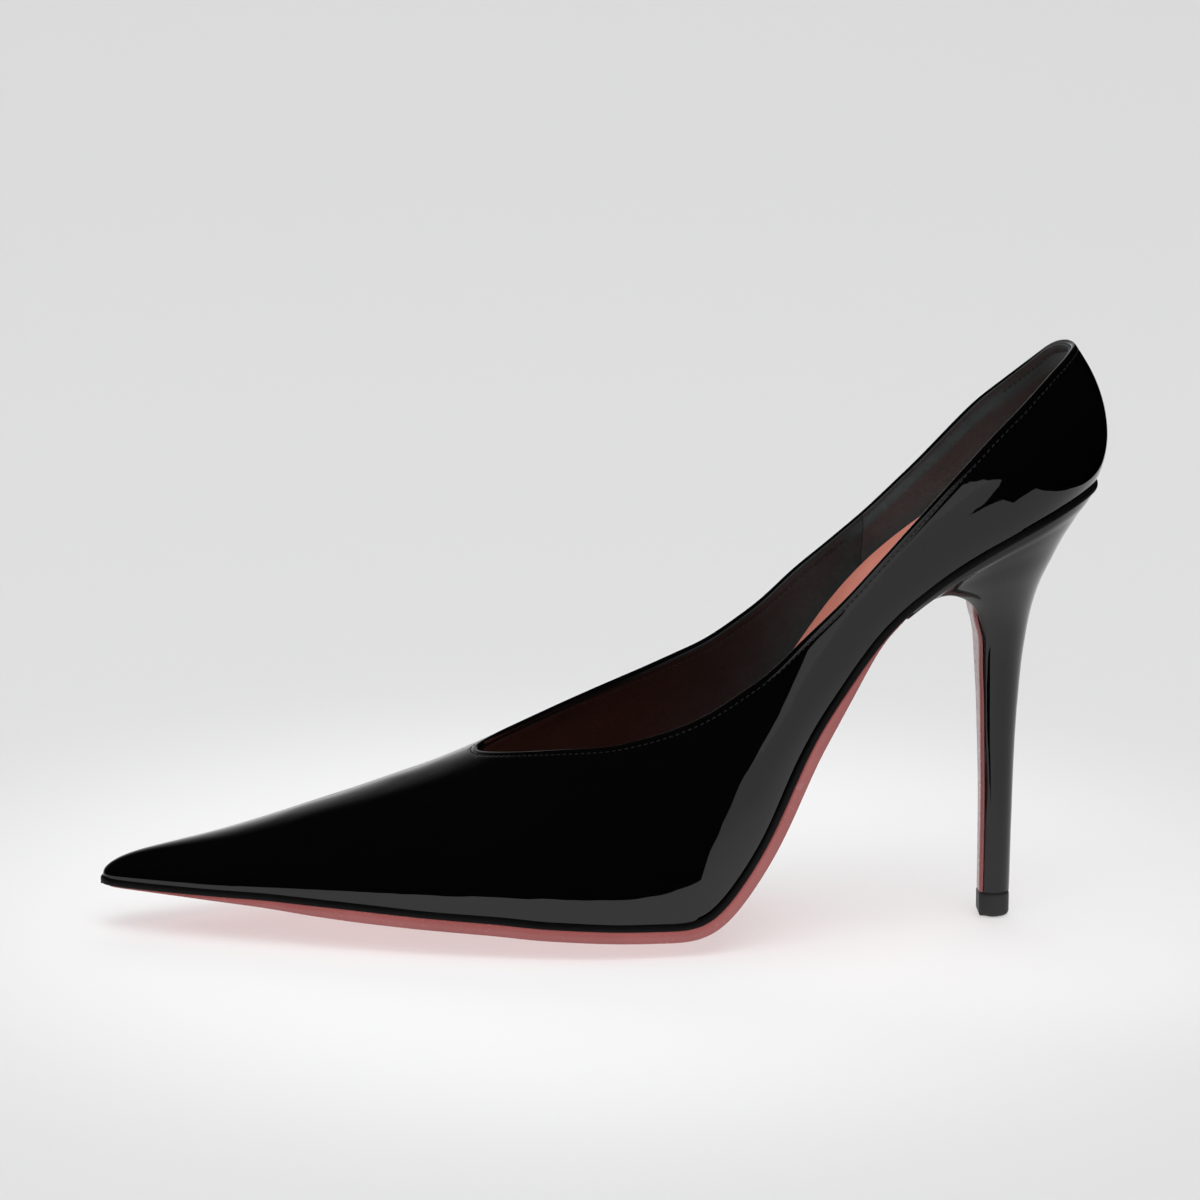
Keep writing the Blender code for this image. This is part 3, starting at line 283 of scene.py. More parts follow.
class Body:
    """Grids of points welded into one closed mesh."""

    def __init__(self):
        self.v = []
        self.f = []
        self.n = 0

    def grid(self, p, flip=False):
        p = np.asarray(p, float)
        m, n = p.shape[:2]
        idx = self.n + np.arange(m * n).reshape(m, n)
        quads = np.stack([idx[:-1, :-1], idx[:-1, 1:], idx[1:, 1:], idx[1:, :-1]], -1)
        quads = quads.reshape(-1, 4)
        self.v.append(p.reshape(-1, 3))
        self.f.extend((quads[:, ::-1] if flip else quads).tolist())
        self.n += m * n

    def lid(self, row):
        """Closes a loop of points whose first and second half mirror each other."""
        k = len(row) // 2
        self.grid(np.stack([row[:k], row[::-1][:k]]))
        if len(row) % 2:
            self.grid(np.array([[row[k - 1], row[k]], [row[k + 1], row[k]]]))

    def build(self, name, mat, replaced=(), sharp=38.0):
        pts = to_row(np.concatenate(self.v))
        bm = bmesh.new()
        vs = [bm.verts.new(p) for p in pts]
        for f in self.f:
            bm.faces.new([vs[i] for i in f])
        bmesh.ops.remove_doubles(bm, verts=bm.verts, dist=WELD)
        bmesh.ops.dissolve_degenerate(bm, edges=bm.edges, dist=1.0e-6)
        bmesh.ops.recalc_face_normals(bm, faces=bm.faces)
        if bm.calc_volume(signed=True) < 0:
            bmesh.ops.reverse_faces(bm, faces=bm.faces)
        mesh = bpy.data.meshes.new(name)
        bm.to_mesh(mesh)
        bm.free()
        return place(name, mesh, mat, replaced, sharp)


def place(name, mesh, mat, replaced=(), sharp=38.0):
    ob = bpy.data.objects.new(name, mesh)
    bpy.context.scene.collection.objects.link(ob)
    mesh.materials.append(mat)
    mesh.shade_smooth()
    mesh.set_sharp_from_angle(angle=math.radians(sharp))
    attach(ob, "root")
    if replaced:
        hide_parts(*replaced)
    return ob


# ---------------------------------------------------------------- materials
class Nodes:
    """Small helper that builds one principled material."""

    def __init__(self, name, rough, base=(0.5, 0.5, 0.5), metal=0.0, ior=1.5):
        self.mat = bpy.data.materials.new(name)
        self.mat.use_nodes = True
        self.tree = self.mat.node_tree
        self.out = self.tree.nodes["Principled BSDF"]
        self.set(self.out, "Base Color", (*base, 1.0))
        self.set(self.out, "Roughness", rough)
        self.set(self.out, "Metallic", metal)
        self.set(self.out, "IOR", ior)
        self.coord = self.tree.nodes.new("ShaderNodeTexCoord").outputs["Object"]

    def set(self, node, socket, value):
        node.inputs[socket].default_value = value

    def link(self, a, b):
        self.tree.links.new(a, b)

    def colour(self, source):
        self.link(source, self.out.inputs["Base Color"])

    def roughness(self, source, lo, hi, to_lo, to_hi):
        self.link(self.span(source, lo, hi, to_lo, to_hi), self.out.inputs["Roughness"])

    def along(self, axis):
        """Object coordinate along axis 0, 1 or 2."""
        split = self.tree.nodes.new("ShaderNodeSeparateXYZ")
        self.link(self.coord, split.inputs[0])
        return split.outputs[axis]

    def noise(self, scale, detail=3.0, rough=0.55, stretch=None, distortion=0.0):
        node = self.tree.nodes.new("ShaderNodeTexNoise")
        self.set(node, "Scale", scale)
        self.set(node, "Detail", detail)
        self.set(node, "Roughness", rough)
        self.set(node, "Distortion", distortion)
        self.link(self.mapped(stretch), node.inputs["Vector"])
        return node.outputs["Fac"]

    def mapped(self, stretch):
        if stretch is None:
            return self.coord
        node = self.tree.nodes.new("ShaderNodeMapping")
        self.set(node, "Scale", stretch)
        self.link(self.coord, node.inputs["Vector"])
        return node.outputs["Vector"]

    def cells(self, scale, feature="F1"):
        node = self.tree.nodes.new("ShaderNodeTexVoronoi")
        node.feature = feature
        self.set(node, "Scale", scale)
        self.link(self.coord, node.inputs["Vector"])
        return node.outputs["Distance"]

    def span(self, source, lo, hi, to_lo, to_hi):
        node = self.tree.nodes.new("ShaderNodeMapRange")
        for key, value in (("From Min", lo), ("From Max", hi), ("To Min", to_lo),
                           ("To Max", to_hi)):
            self.set(node, key, value)
        self.link(source, node.inputs["Value"])
        return node.outputs["Result"]

    def mix(self, fac, one, two):
        node = self.tree.nodes.new("ShaderNodeMix")
        node.data_type = "RGBA"
        for k, tone in ((6, one), (7, two)):
            if isinstance(tone, tuple):
                node.inputs[k].default_value = (*tone, 1.0)
            else:
                self.link(tone, node.inputs[k])
        self.link(fac, node.inputs[0])
        return node.outputs[2]

    def blend(self, a, b, op="ADD"):
        node = self.tree.nodes.new("ShaderNodeMath")
        node.operation = op
        for k, x in enumerate((a, b)):
            if isinstance(x, (int, float)):
                node.inputs[k].default_value = x
            else:
                self.link(x, node.inputs[k])
        return node.outputs[0]

    def bump(self, height, depth, under=None):
        """Adds a bump of that depth in metres and returns its normal."""
        node = self.tree.nodes.new("ShaderNodeBump")
        self.set(node, "Distance", depth)
        self.link(height, node.inputs["Height"])
        if under is not None:
            self.link(under, node.inputs["Normal"])
        self.link(node.outputs["Normal"], self.out.inputs["Normal"])
        return node.outputs["Normal"]


def patent(name, tone=0.0010, rough=(0.015, 0.045)):
    m = Nodes(name, 0.04)
    cloud = m.noise(60.0, 4.0)
    m.colour(m.mix(cloud, (tone, tone, tone * 1.05), (tone * 1.7, tone * 1.6, tone * 1.7)))
    dust = m.noise(420.0, 6.0, 0.7)
    haze = m.blend(m.span(cloud, 0.35, 0.7, 0.0, 0.6), m.span(dust, 0.5, 0.8, 0.0, 0.4))
    m.roughness(haze, 0.0, 1.0, *rough)
    peel = m.noise(700.0, 2.0, 0.4)
    swell = m.noise(95.0, 2.0, 0.5)
    first = m.bump(swell, 0.00006)
    m.bump(peel, 0.0000022, first)
    return m.mat


def grain(name, dark, light, rough, pore=1500.0, depth=0.00006, crease=0.00012,
          mottling=45.0, front=None, spec=0.5):
    """Fine leather: pebbled pores, soft creases and cloudy colour.
    front is a second, far darker pair of tones for the forefoot, fading out over 45 mm: painted
    shade deep in the toe."""
    m = Nodes(name, rough)
    cloud = m.noise(mottling, 5.0, 0.6)
    fine = m.noise(mottling * 18, 4.0, 0.65)
    both = m.blend(m.span(cloud, 0.3, 0.7, 0.0, 0.75), m.span(fine, 0.35, 0.7, 0.0, 0.25))
    pores = m.cells(pore, "DISTANCE_TO_EDGE")
    valley = m.span(pores, 0.0, 0.12, 0.0, 1.0)
    colour = m.mix(both, dark, light)
    # painted shade: towards the toe the colour fades into the darker front tones
    if front is not None:
        colour = m.mix(m.span(m.along(0), 0.005, 0.050, 0.0, 1.0), m.mix(both, *front), colour)
    m.colour(colour)
    m.set(m.out, "Specular IOR Level", spec)
    m.roughness(m.blend(cloud, valley, "MULTIPLY"), 0.0, 0.7, rough + 0.10, rough - 0.08)
    first = m.bump(m.noise(140.0, 5.0, 0.6, distortion=0.6), crease)
    m.bump(m.blend(valley, fine), depth, first)
    return m.mat


def sole_paint(name, dark, light):
    """Lacquered leather sole: fine long fibres, light scuffs in streaks scattered over it."""
    m = Nodes(name, 0.24)
    cloud = m.noise(38.0, 5.0, 0.6)
    fibre = m.noise(900.0, 5.0, 0.6, (1.0, 0.25, 1.0))
    scuff = m.noise(70.0, 6.0, 0.7, (0.3, 1.6, 1.0))
    base = m.mix(m.span(cloud, 0.3, 0.7, 0.0, 1.0), dark, light)
    marks = m.span(scuff, 0.62, 0.72, 0.0, 0.35)
    worn = tuple(0.55 * c + 0.18 for c in light)
    m.colour(m.mix(marks, base, worn))
    m.roughness(m.blend(fibre, marks), 0.3, 1.1, 0.17, 0.42)
    m.bump(fibre, 0.00002, m.bump(scuff, 0.00003))
    return m.mat


def moulded(name, dark, light, rough, scale=600.0, depth=0.00003):
    m = Nodes(name, rough)
    cloud = m.noise(scale * 0.1, 4.0)
    fine = m.noise(scale, 4.0, 0.6)
    m.colour(m.mix(m.blend(cloud, fine, "MULTIPLY"), dark, light))
    m.roughness(fine, 0.3, 0.7, rough - 0.06, rough + 0.08)
    m.bump(fine, depth)
    return m.mat


def metal(name, tone, rough):
    m = Nodes(name, rough, metal=1.0)
    brushed = m.noise(400.0, 5.0, 0.6, (6.0, 6.0, 0.5))
    m.colour(m.mix(brushed, tone, tuple(c * 0.7 for c in tone)))
    m.roughness(brushed, 0.3, 0.7, rough - 0.08, rough + 0.14)
    m.bump(brushed, 0.000012)
    return m.mat


def fibre_board(name, dark, light):
    m = Nodes(name, 0.85)
    strands = m.noise(500.0, 6.0, 0.7, (0.3, 1.0, 1.0), 1.2)
    cloud = m.noise(60.0, 4.0)
    m.colour(m.mix(m.blend(strands, cloud, "MULTIPLY"), dark, light))
    m.roughness(strands, 0.3, 0.7, 0.75, 0.95)
    m.bump(strands, 0.00008)
    return m.mat


def open_foam(name, dark, light):
    m = Nodes(name, 0.95)
    pores = m.cells(900.0)
    m.colour(m.mix(m.span(pores, 0.1, 0.7, 0.0, 1.0), dark, light))
    m.roughness(pores, 0.0, 0.7, 0.85, 1.0)
    m.bump(pores, 0.0002)
    return m.mat


PATENT = patent("patent_upper")
PATENT_HEEL = patent("patent_heel")
LINING_HEEL = grain("lining_quarter", (0.017, 0.0205, 0.021), (0.045, 0.053, 0.054), 0.44)
# painted shade: the vamp lining turns near black over the forefoot, where the toe box lies in
# shade
LINING_VAMP_TOE_SHADED = grain("lining_vamp_toe_shaded", (0.015, 0.018, 0.0185), (0.036, 0.042, 0.043), 0.46,
                    front=((0.0008, 0.0008, 0.0010), (0.0018, 0.0019, 0.0024)), spec=0.3)
SOCK = grain("sock_coral", (0.53, 0.175, 0.130), (0.64, 0.235, 0.180), 0.50, pore=1700.0,
             depth=0.00004, crease=0.00008)
SOLE = sole_paint("sole_coral", (0.35, 0.098, 0.094), (0.42, 0.128, 0.122))
# painted shade: the breast is the sole's coral leather, given darker tones as shade
BREAST_CORAL_SHADED = sole_paint("breast_coral_shaded", (0.24, 0.066, 0.066), (0.29, 0.085, 0.085))
RAND = grain("rand_black", (0.0015, 0.0015, 0.0015), (0.004, 0.004, 0.004), 0.50, pore=2200.0,
             depth=0.00002, crease=0.00003, spec=0.12)
LIFT = moulded("lift_rubber", (0.010, 0.011, 0.012), (0.026, 0.027, 0.028), 0.55)
PLASTIC = moulded("heel_plastic", (0.02, 0.02, 0.022), (0.07, 0.07, 0.075), 0.48)
STEEL = metal("steel", (0.58, 0.57, 0.55), 0.32)
BOARD = fibre_board("insole_board", (0.22, 0.13, 0.07), (0.46, 0.31, 0.19))
CORK = fibre_board("filler_cork", (0.30, 0.18, 0.09), (0.52, 0.36, 0.22))
STIFF = fibre_board("stiffener", (0.46, 0.40, 0.31), (0.66, 0.60, 0.49))
FOAM = open_foam("cushion_foam", (0.52, 0.47, 0.36), (0.78, 0.73, 0.60))
THREAD = moulded("thread_black", (0.006, 0.006, 0.006), (0.03, 0.03, 0.03), 0.42, 2400.0)

# ---------------------------------------------------------------- stations and rows
STATIONS = [(0.09 * k) ** 2 for k in range(56)]
while STATIONS[-1] < THROAT - 6.0:
    STATIONS.append(STATIONS[-1] + 0.9)
STATIONS += list(np.linspace(STATIONS[-1], THROAT, 16)[1:])
STATIONS += [THROAT + (0.125 * k) ** 2 for k in range(1, 30)]
STATIONS += list(np.linspace(STATIONS[-1], RUN_END - 3.0, 164)[1:])
STATIONS += list(np.linspace(RUN_END - 3.0, RUN_END, 13)[1:])
STATIONS = np.array(STATIONS)
NEAR_TOP = np.array([0, .25, .5, .75, .95, 1.1, 1.25, 1.4, 1.55, 1.75, 2.1, 2.6, 3.3, 4.3, 5.7])


def rows(side, runs, low=None, near=NEAR_TOP, far=34):
    """v for every station and row, foot first: fine under the topline, even below."""
    runs = np.asarray(runs, float)
    high = top_v(side, runs)
    low = np.zeros_like(high) if low is None else low
    t = np.linspace(0.0, 1.0, 121)
    v = high[:, None] + (low - high)[:, None] * t[None, :]
    p = wall(side, runs[:, None], v)
    d = np.concatenate([np.zeros((len(runs), 1)),
                        np.cumsum(np.linalg.norm(np.diff(p, axis=1), axis=2), axis=1)], 1)
    out = []
    for i in range(len(runs)):
        length = d[i, -1]
        marks = near * min(1.0, length / 18.0)
        rest = np.linspace(marks[-1], length, far + 1)[1:]
        out.append(np.interp(np.concatenate([marks, rest]), d[i], v[i])[::-1])
    return np.array(out)


def ripple(p):
    """Very slight unevenness of lacquered leather pulled over a form, about -1 to 1."""
    out = [noise.noise(Vector((a * 0.055, y * 0.075 + 7.0, z * 0.075)))
           + 0.28 * noise.noise(Vector((a * 0.15 + 3.0, y * 0.17, z * 0.17)))
           + 0.05 * noise.noise(Vector((a * 0.42, y * 0.45 + 2.0, z * 0.45)))
           for a, y, z in p.reshape(-1, 3)]
    return np.array(out).reshape(p.shape[:-1])


def topline(side):
    runs = STATIONS[STATIONS >= THROAT - 1e-6]
    v = top_v(side, runs)
    return runs, wall(side, runs, v), wall_normal(side, runs, np.minimum(v, 0.9995))


EDGE = {s: topline(s) for s in (-1, 1)}


def edge_loop():
    """Points, normals and outward binormals along the whole topline, lateral back to medial."""
    p = np.concatenate([EDGE[-1][1][::-1], EDGE[1][1][1:]])
    n = np.concatenate([EDGE[-1][2][::-1], EDGE[1][2][1:]])
    t = np.gradient(p, axis=0)
    b = unit(np.cross(n, unit(t)))
    mid = len(EDGE[-1][1]) - 1
    if b[mid, 0] > 0:
        b = -b
    return p, n, b, mid


LOOP_P, LOOP_N, LOOP_B, LOOP_MID = edge_loop()
# near the middle of the back both sides share one direction
for arr in (LOOP_N, LOOP_B):
    for k in (0, -1):
        arr[k] = arr[k] * np.array([1.0, 0.0, 1.0])
        arr[k] /= np.linalg.norm(arr[k])


FINE_LOOP = np.concatenate([LOOP_P[:-1] + np.diff(LOOP_P, axis=0) * k / 4 for k in range(4)])
LOOP_TREE = KDTree(len(FINE_LOOP))
for i, q in enumerate(FINE_LOOP):
    LOOP_TREE.insert(q, i)
LOOP_TREE.balance()


def edge_distance(p):
    """Distance of points to the topline."""
    return np.array([LOOP_TREE.find(q)[2] for q in p.reshape(-1, 3)]).reshape(p.shape[:-1])


def bell(x, centre, width):
    return np.exp(-((x - centre) / width) ** 2)


# ---------------------------------------------------------------- upper
STITCH_IN = 1.35


def flange(side, runs, d, n=5):
    """Lasting margin turned under the board: points from the feather edge inwards."""
    q, x, y, r = foot_ray(side, runs)
    inner = np.where(runs > SEAT_AXIS, r - MARGIN, half_at(side, q, MARGIN))
    thin = np.minimum(d, 0.3 * r)
    out = []
    for j in range(n + 1):
        rr = (r - thin) + (inner - (r - thin)) * j / n
        a = q + x / r * rr
        yy = side * y / r * rr
        z = bottom_z(a, off_centre(yy, side), 0.0) + \
            (bottom_z(a, yy, d) - bottom_z(a, yy, 0.0)) * np.minimum(1.0, r / 6.0)
        out.append(np.stack([a, yy, z], -1))
    return np.stack(out, 1)


def make_upper():
    body = Body()
    mirror = {}
    for side in (-1, 1):
        v = rows(side, STATIONS)
        run = STATIONS[:, None] + np.zeros_like(v)
        p = wall(side, run, v)
        n = wall_normal(side, run, v)
        d = edge_distance(p)
        fade = ramp(STATIONS, 4.0, 30.0)[:, None]
        lift = ripple(p) * 0.14 * fade * ramp(d, 0.0, 12.0)
        lift = lift + 0.10 * bell(d, 0.55, 0.55) - 0.17 * bell(d, STITCH_IN, 0.28)
        behind = np.where(p[..., 0] > SEAT_AXIS + 15, np.abs(p[..., 1]), 9.0)
        lift = lift - 0.16 * bell(behind, 0.0, 0.30) * ramp(d, 0.2, 1.0)
        outer = p + n * lift[..., None]
        # feather edge rolls in a little over the strip
        inner_run = STATIONS + 1.6 * np.exp(-STATIONS / 6.0)
        vi = rows(side, inner_run)
        ri = inner_run[:, None] + np.zeros_like(vi)
        pi = wall(side, ri, vi)
        thick = UPPER_T * np.minimum(1.0, at(HALF[side], np.minimum(inner_run, 215)) / 4.0)
        inner = pi - wall_normal(side, ri, vi) * thick[:, None, None]
        low = flange(side, STATIONS, 0.0)
        high = flange(side, inner_run, UPPER_T)
        keep = inner[:, :, 2] > high[:, :1, 2] + 0.05
        inner = np.where(keep[..., None], inner, high[:, :1, :])
        tip = np.array([0.0, 0.0, POLE_Z])
        outer[0] = tip
        low[0] = tip
        inner_tip = np.array([1.9, 0.0, POLE_Z + 0.5])
        inner[0] = inner_tip
        high[0] = inner_tip
        low[:, 0] = outer[:, 0]
        high[:, 0] = inner[:, 0]
        for g in (outer, inner, low, high):
            g[-1, :, 1] = 0.0
        mirror[side] = (outer, inner, low, high)
    for g in range(4):
        # the two sides share the ridge in front of the throat and the middle of the back
        one, two = mirror[-1][g], mirror[1][g]
        front = STATIONS <= THROAT + 1e-6
        if g >= 2:
            front = (np.abs(one[:, -1, 1]) < 1e-3) & (np.abs(two[:, -1, 1]) < 1e-3)
        share(one, two, (front, -1))
        share(one, two, -1)
    k0 = int(np.argmax(STATIONS >= THROAT - 1e-6))
    for side in (-1, 1):
        outer, inner, low, high = mirror[side]
        body.grid(outer, flip=side > 0)
        body.grid(inner, flip=side < 0)
        body.grid(low, flip=side < 0)
        body.grid(high, flip=side > 0)
        b = LOOP_B[:LOOP_MID + 1][::-1] if side < 0 else LOOP_B[LOOP_MID:]
        top_o = outer[k0:, -1]
        top_i = inner[k0:, -1]
        rim = []
        for th in np.linspace(0.0, math.pi, 9):
            c = 0.5 * (1 - math.cos(th))
            rim.append(top_o + (top_i - top_o) * c - b * 0.34 * math.sin(th))
        rim = np.stack(rim, 1)
        rim[-1, :, 1] = 0.0
        mirror[(side, "rim")] = rim
    for k in (0, -1):
        share(mirror[(-1, "rim")], mirror[(1, "rim")], k)
    for side in (-1, 1):
        outer, inner, low, high = mirror[side]
        body.grid(mirror[(side, "rim")], flip=side > 0)
        k1 = int(np.argmax(np.abs(low[:, -1, 1]) > 1e-3)) - 1
        body.grid(np.stack([low[k1:, -1], high[k1:, -1]], 1))
    return body.build("upper_patent", PATENT, ("upper",), sharp=60.0)


UPPER = make_upper()


# ---------------------------------------------------------------- lining, puff, counter
def toe_fill(run):
    return 1.0 - ramp(run, PUFF_END + 1.0, PUFF_END + 9.0)


def counter_fill(run, t):
    return ramp(run, COUNTER_START - 9.0, COUNTER_START - 1.0) * (1.0 - ramp(t, 0.80, 0.95))


def lining_outer(run, t):
    snug = 0.24 * ramp(t, 0.86, 0.99)
    return UPPER_T + GAP - snug + toe_fill(run) * (PUFF_T + GAP) \
        + counter_fill(run, t) * (COUNTER_T + GAP)


SOCK_LIFT = 2 * GAP + UPPER_T + BOARD_T


def foot_v(side, runs, depth, lift):
    lo = np.zeros_like(runs)
    hi = np.full_like(runs, 0.7)
    for _ in range(18):
        mid = 0.5 * (lo + hi)
        p = wall(side, runs, mid) - wall_normal(side, runs, mid) * depth[:, None]
        above = p[:, 2] > bottom_z(p[:, 0], p[:, 1], lift)
        hi = np.where(above, mid, hi)
        lo = np.where(above, lo, mid)
    return 0.5 * (lo + hi)


def between(lo, hi):
    inner = STATIONS[(STATIONS > lo + 0.3) & (STATIONS < hi - 0.3)]
    return np.concatenate([[lo], inner, [min(hi, RUN_END)]])


def wall_strip(name, mat, replaced, lo, hi, depth0, depth1, lift, top=None, finish=None,
               near=NEAR_TOP, far=26):
    """Closed sheet between two depths below the outer surface, over both sides."""
    runs = between(lo, hi)
    body = Body()
    skins = {}
    for side in (-1, 1):
        foot = foot_v(side, runs, depth0(runs, 0.0 * runs), lift)
        v = rows(side, runs, low=foot, near=near, far=far)
        if top is not None:
            v = v[:, :1] + (v - v[:, :1]) * top
        run = runs[:, None] + np.zeros_like(v)
        p = wall(side, run, v)
        n = wall_normal(side, run, np.minimum(v, 0.9995))
        t = (v - v[:, :1]) / np.maximum(top_v(side, runs) - v[:, 0], 1e-6)[:, None]
        gap = edge_distance(p) if finish is not None else None
        outer = p - n * depth0(run, t)[..., None]
        inner = p - n * depth1(run, t)[..., None]
        if finish is not None:
            inner = inner - n * finish(run, t, gap, p)[..., None]
        if hi >= RUN_END:
            outer[-1, :, 1] = 0.0
            inner[-1, :, 1] = 0.0
        skins[side] = [outer, inner]
    closed = (runs <= THROAT + 1e-6) & (top is None or top >= 1.0)
    for g in (0, 1):
        one, two = skins[-1][g], skins[1][g]
        if closed.any():
            share(one, two, (closed, -1))
        if hi >= RUN_END:
            share(one, two, -1)
    for side in (-1, 1):
        outer, inner = skins[side]
        body.grid(outer, flip=side > 0)
        body.grid(inner, flip=side < 0)
        body.grid(np.stack([outer[:, 0], inner[:, 0]], 1))
        first = max(int(closed.sum()) - 1, 0)
        if first < len(runs) - 1:
            o, i = outer[first:, -1], inner[first:, -1]
            o1, i1 = outer[first:, -2], inner[first:, -2]
            up = 0.5 * ((o - o1) + (i - i1))
            up = unit(up, 1e-9)
            if closed.any():
                up[0] = 0.0
            rim = np.stack([o, o + (i - o) * 0.25 + up * 0.12, o + (i - o) * 0.75 + up * 0.12, i],
                           1)
            if hi >= RUN_END:
                rim[-1, :, 1] = 0.0
                skins[(side, "end")] = rim[-1]
                if side > 0:
                    rim[-1] = skins[(-1, "end")]
            body.grid(rim)
        body.grid(np.stack([outer[0], inner[0]]))
        if hi < RUN_END:
            body.grid(np.stack([outer[-1], inner[-1]]))
    return body.build(name, mat, replaced, sharp=50.0)


def lining_inner(run, t):
    return lining_outer(run, t) + LINING_T


def seat_relief(run, t, gap, p):
    """Lining bedded under the edge: pressed in at the stitch row, slack folds lower down."""
    press = -0.16 * bell(gap, 1.9, 0.35) + 0.05 * bell(gap, 0.9, 0.5)
    soft = ripple(p * 1.4) * 0.10 * ramp(gap, 2.0, 9.0)
    return press + soft


def heel_relief(run, t, gap, p):
    edge = 0.30 * (1.0 - ramp(run, LINING_JOINT + 3.0, LINING_JOINT + 9.0))
    seam = -0.12 * bell(run, LINING_JOINT + 1.6, 0.30)
    return seat_relief(run, t, gap, p) + edge + seam


wall_strip("vamp_lining_leather", LINING_VAMP_TOE_SHADED, ("vamp_lining",), 22.0,
           LINING_JOINT + 0.02, lining_outer, lining_inner, SOCK_LIFT + GAP + 0.1,
           finish=seat_relief)
wall_strip("heel_lining_leather", LINING_HEEL, ("heel_lining",),
           LINING_JOINT + 0.10, RUN_END, lining_outer, lining_inner, SOCK_LIFT + GAP + 0.1,
           finish=heel_relief)
COARSE = np.array([0, 1.0, 2.5, 5.0])


def depth(d):
    return lambda run, t: d + 0.0 * t


wall_strip("toe_puff_sheet", STIFF, ("toe_puff",), 12.0, PUFF_END,
           depth(UPPER_T + GAP), depth(UPPER_T + GAP + PUFF_T),
           SOCK_LIFT + GAP + 0.1, top=1.0, near=COARSE, far=14)
wall_strip("heel_counter_sheet", STIFF, ("heel_counter",), COUNTER_START, RUN_END,
           depth(UPPER_T + GAP), depth(UPPER_T + GAP + COUNTER_T),
           SOCK_LIFT + GAP + 0.1, top=0.75, near=COARSE, far=14)


# ---------------------------------------------------------------- bottom layers
def slab(name, mat, replaced, inset, top, bot, start=None, end=999.0, edge=0.4,
         square=0.5, n=9, ring=None, swell=0.0, sharp=50.0):
    """Layer that follows the bottom of the form, with a rounded rim.
    inset(a) goes inwards from the outline; top and bot give heights at (a, y)."""
    tip = start
    if tip is None:
        w = half_at(-1, XS, inset(XS)) + half_at(1, XS, inset(XS))
        tip = float(XS[int(np.argmax((w > 0.05) & (XS > -3.0)))])
    last_a = min(end, SEAT_AXIS)
    base = STATIONS[(STATIONS > tip + 0.25) & (STATIONS < last_a - 0.25)]
    if tip < 0.3:
        extra = tip + (0.09 * np.arange(1, 12)) ** 2
        base = np.concatenate([extra[extra < 1.0], base[base > 1.05]])
    runs = np.concatenate([[tip], base, [last_a]])
    turns = np.zeros(len(runs))
    if end > SEAT_AXIS:
        back = np.linspace(0.0, math.pi / 2, 49)[1:]
        runs = np.concatenate([runs, np.full(48, SEAT_AXIS)])
        turns = np.concatenate([turns, back])
    body = Body()
    sides = {}
    for side in (-1, 1):
        w = half_at(side, runs, inset(runs))
        rad = SEAT_RADIUS - inset(SEAT_AXIS + 20.0)
        x = rad * np.sin(turns)
        y = w * np.cos(turns)
        if start is None:
            y[0] = 0.0
        r = np.maximum(np.hypot(x, y), 1e-9)
        r0 = np.zeros_like(r)
        if ring is not None:
            w_in = half_at(side, runs, ring + 0.0 * runs)
            r0 = np.where(turns > 0, r - ring, w_in)
            r0 = np.minimum(np.maximum(r0, 0.0), r)
        e = np.minimum(edge, 0.45 * (r - r0))

        def spot(rr):
            return runs + x / r * rr, side * y / r * rr

        tops, bots, rim = [], [], []
        for j in range(n + 1):
            rr = r0 + (r - e - r0) * j / n
            a, yy = spot(rr)
            safe = off_centre(yy, side)
            puff = swell * (1.0 - (rr / r) ** 4)
            tops.append(np.stack([a, yy, top(a, safe) + puff], -1))
            bots.append(np.stack([a, yy, bot(a, safe)], -1))
        a, yy = spot(r)
        safe = off_centre(yy, side)
        for th in np.linspace(math.pi / 2, -math.pi / 2, 9):
            c = abs(math.cos(th)) ** square
            s = math.copysign(abs(math.sin(th)) ** square, th) if abs(th) > 1e-9 else 0.0
            pa, py = spot(r - e + e * c)
            hi = tops[-1][:, 2]
            lo = bots[-1][:, 2]
            rim.append(np.stack([pa, py, 0.5 * (hi + lo) + 0.5 * (hi - lo) * s], -1))
        loop = np.stack(tops + rim[1:-1] + bots[::-1], 1)
        sides[side] = (loop, np.stack([tops[0], bots[0]], 1))
    one, two = sides[-1][0], sides[1][0]
    for k in (0, -1):
        mid = np.abs(one[:, k, 1]) + np.abs(two[:, k, 1]) < 1e-3
        share(one, two, (mid, k))
    if start is None:
        share(one, two, 0)
    if end > SEAT_AXIS:
        one[-1, :, 1] = 0.0
        two[-1, :, 1] = 0.0
        share(one, two, -1)
    for side in (-1, 1):
        loop = sides[side][0]
        body.grid(loop, flip=side < 0)
        if ring is not None:
            k1 = max(int(np.argmax(np.abs(loop[:, 0, 1]) > 1e-3)) - 1, 0)
            body.grid(np.stack([loop[k1:, 0], loop[k1:, -1]], 1))
        if start is not None:
            body.lid(loop[0])
        if end <= SEAT_AXIS:
            body.lid(loop[-1])
    return body.build(name, mat, replaced, sharp)


RAND_TOP = -0.08
RAND_BOT = -GAP - RAND_T
SOLE_TOP = RAND_BOT - 0.1


def sole_thickness(a):
    return 0.35 + (SOLE_T - 0.35) * ramp(a, 8.0, 66.0) - (SOLE_T - 0.7) * ramp(a, 174.0, 189.0)


def sole_in(a):
    hidden = 2.6 * ramp(a, 180.0, 190.0) + 2.4 * ramp(a, 191.0, 199.5)
    return 0.0 * a - 0.2 + 1.3 * (1.0 - ramp(a, 6.0, 30.0)) + hidden


def sole_bot(a, y):
    z0 = bottom_z(a, y, SOLE_TOP)
    z1 = bottom_z(a, y, SOLE_TOP - SOLE_T)
    return np.maximum(z0 + (z1 - z0) * sole_thickness(a) / SOLE_T, 0.0)


def sock_edge(a):
    near_ends = np.maximum(ramp(a, COUNTER_START - 12.0, COUNTER_START - 2.0),
                           1.0 - ramp(a, PUFF_END, PUFF_END + 9.0))
    return 2.55 + 1.2 * near_ends


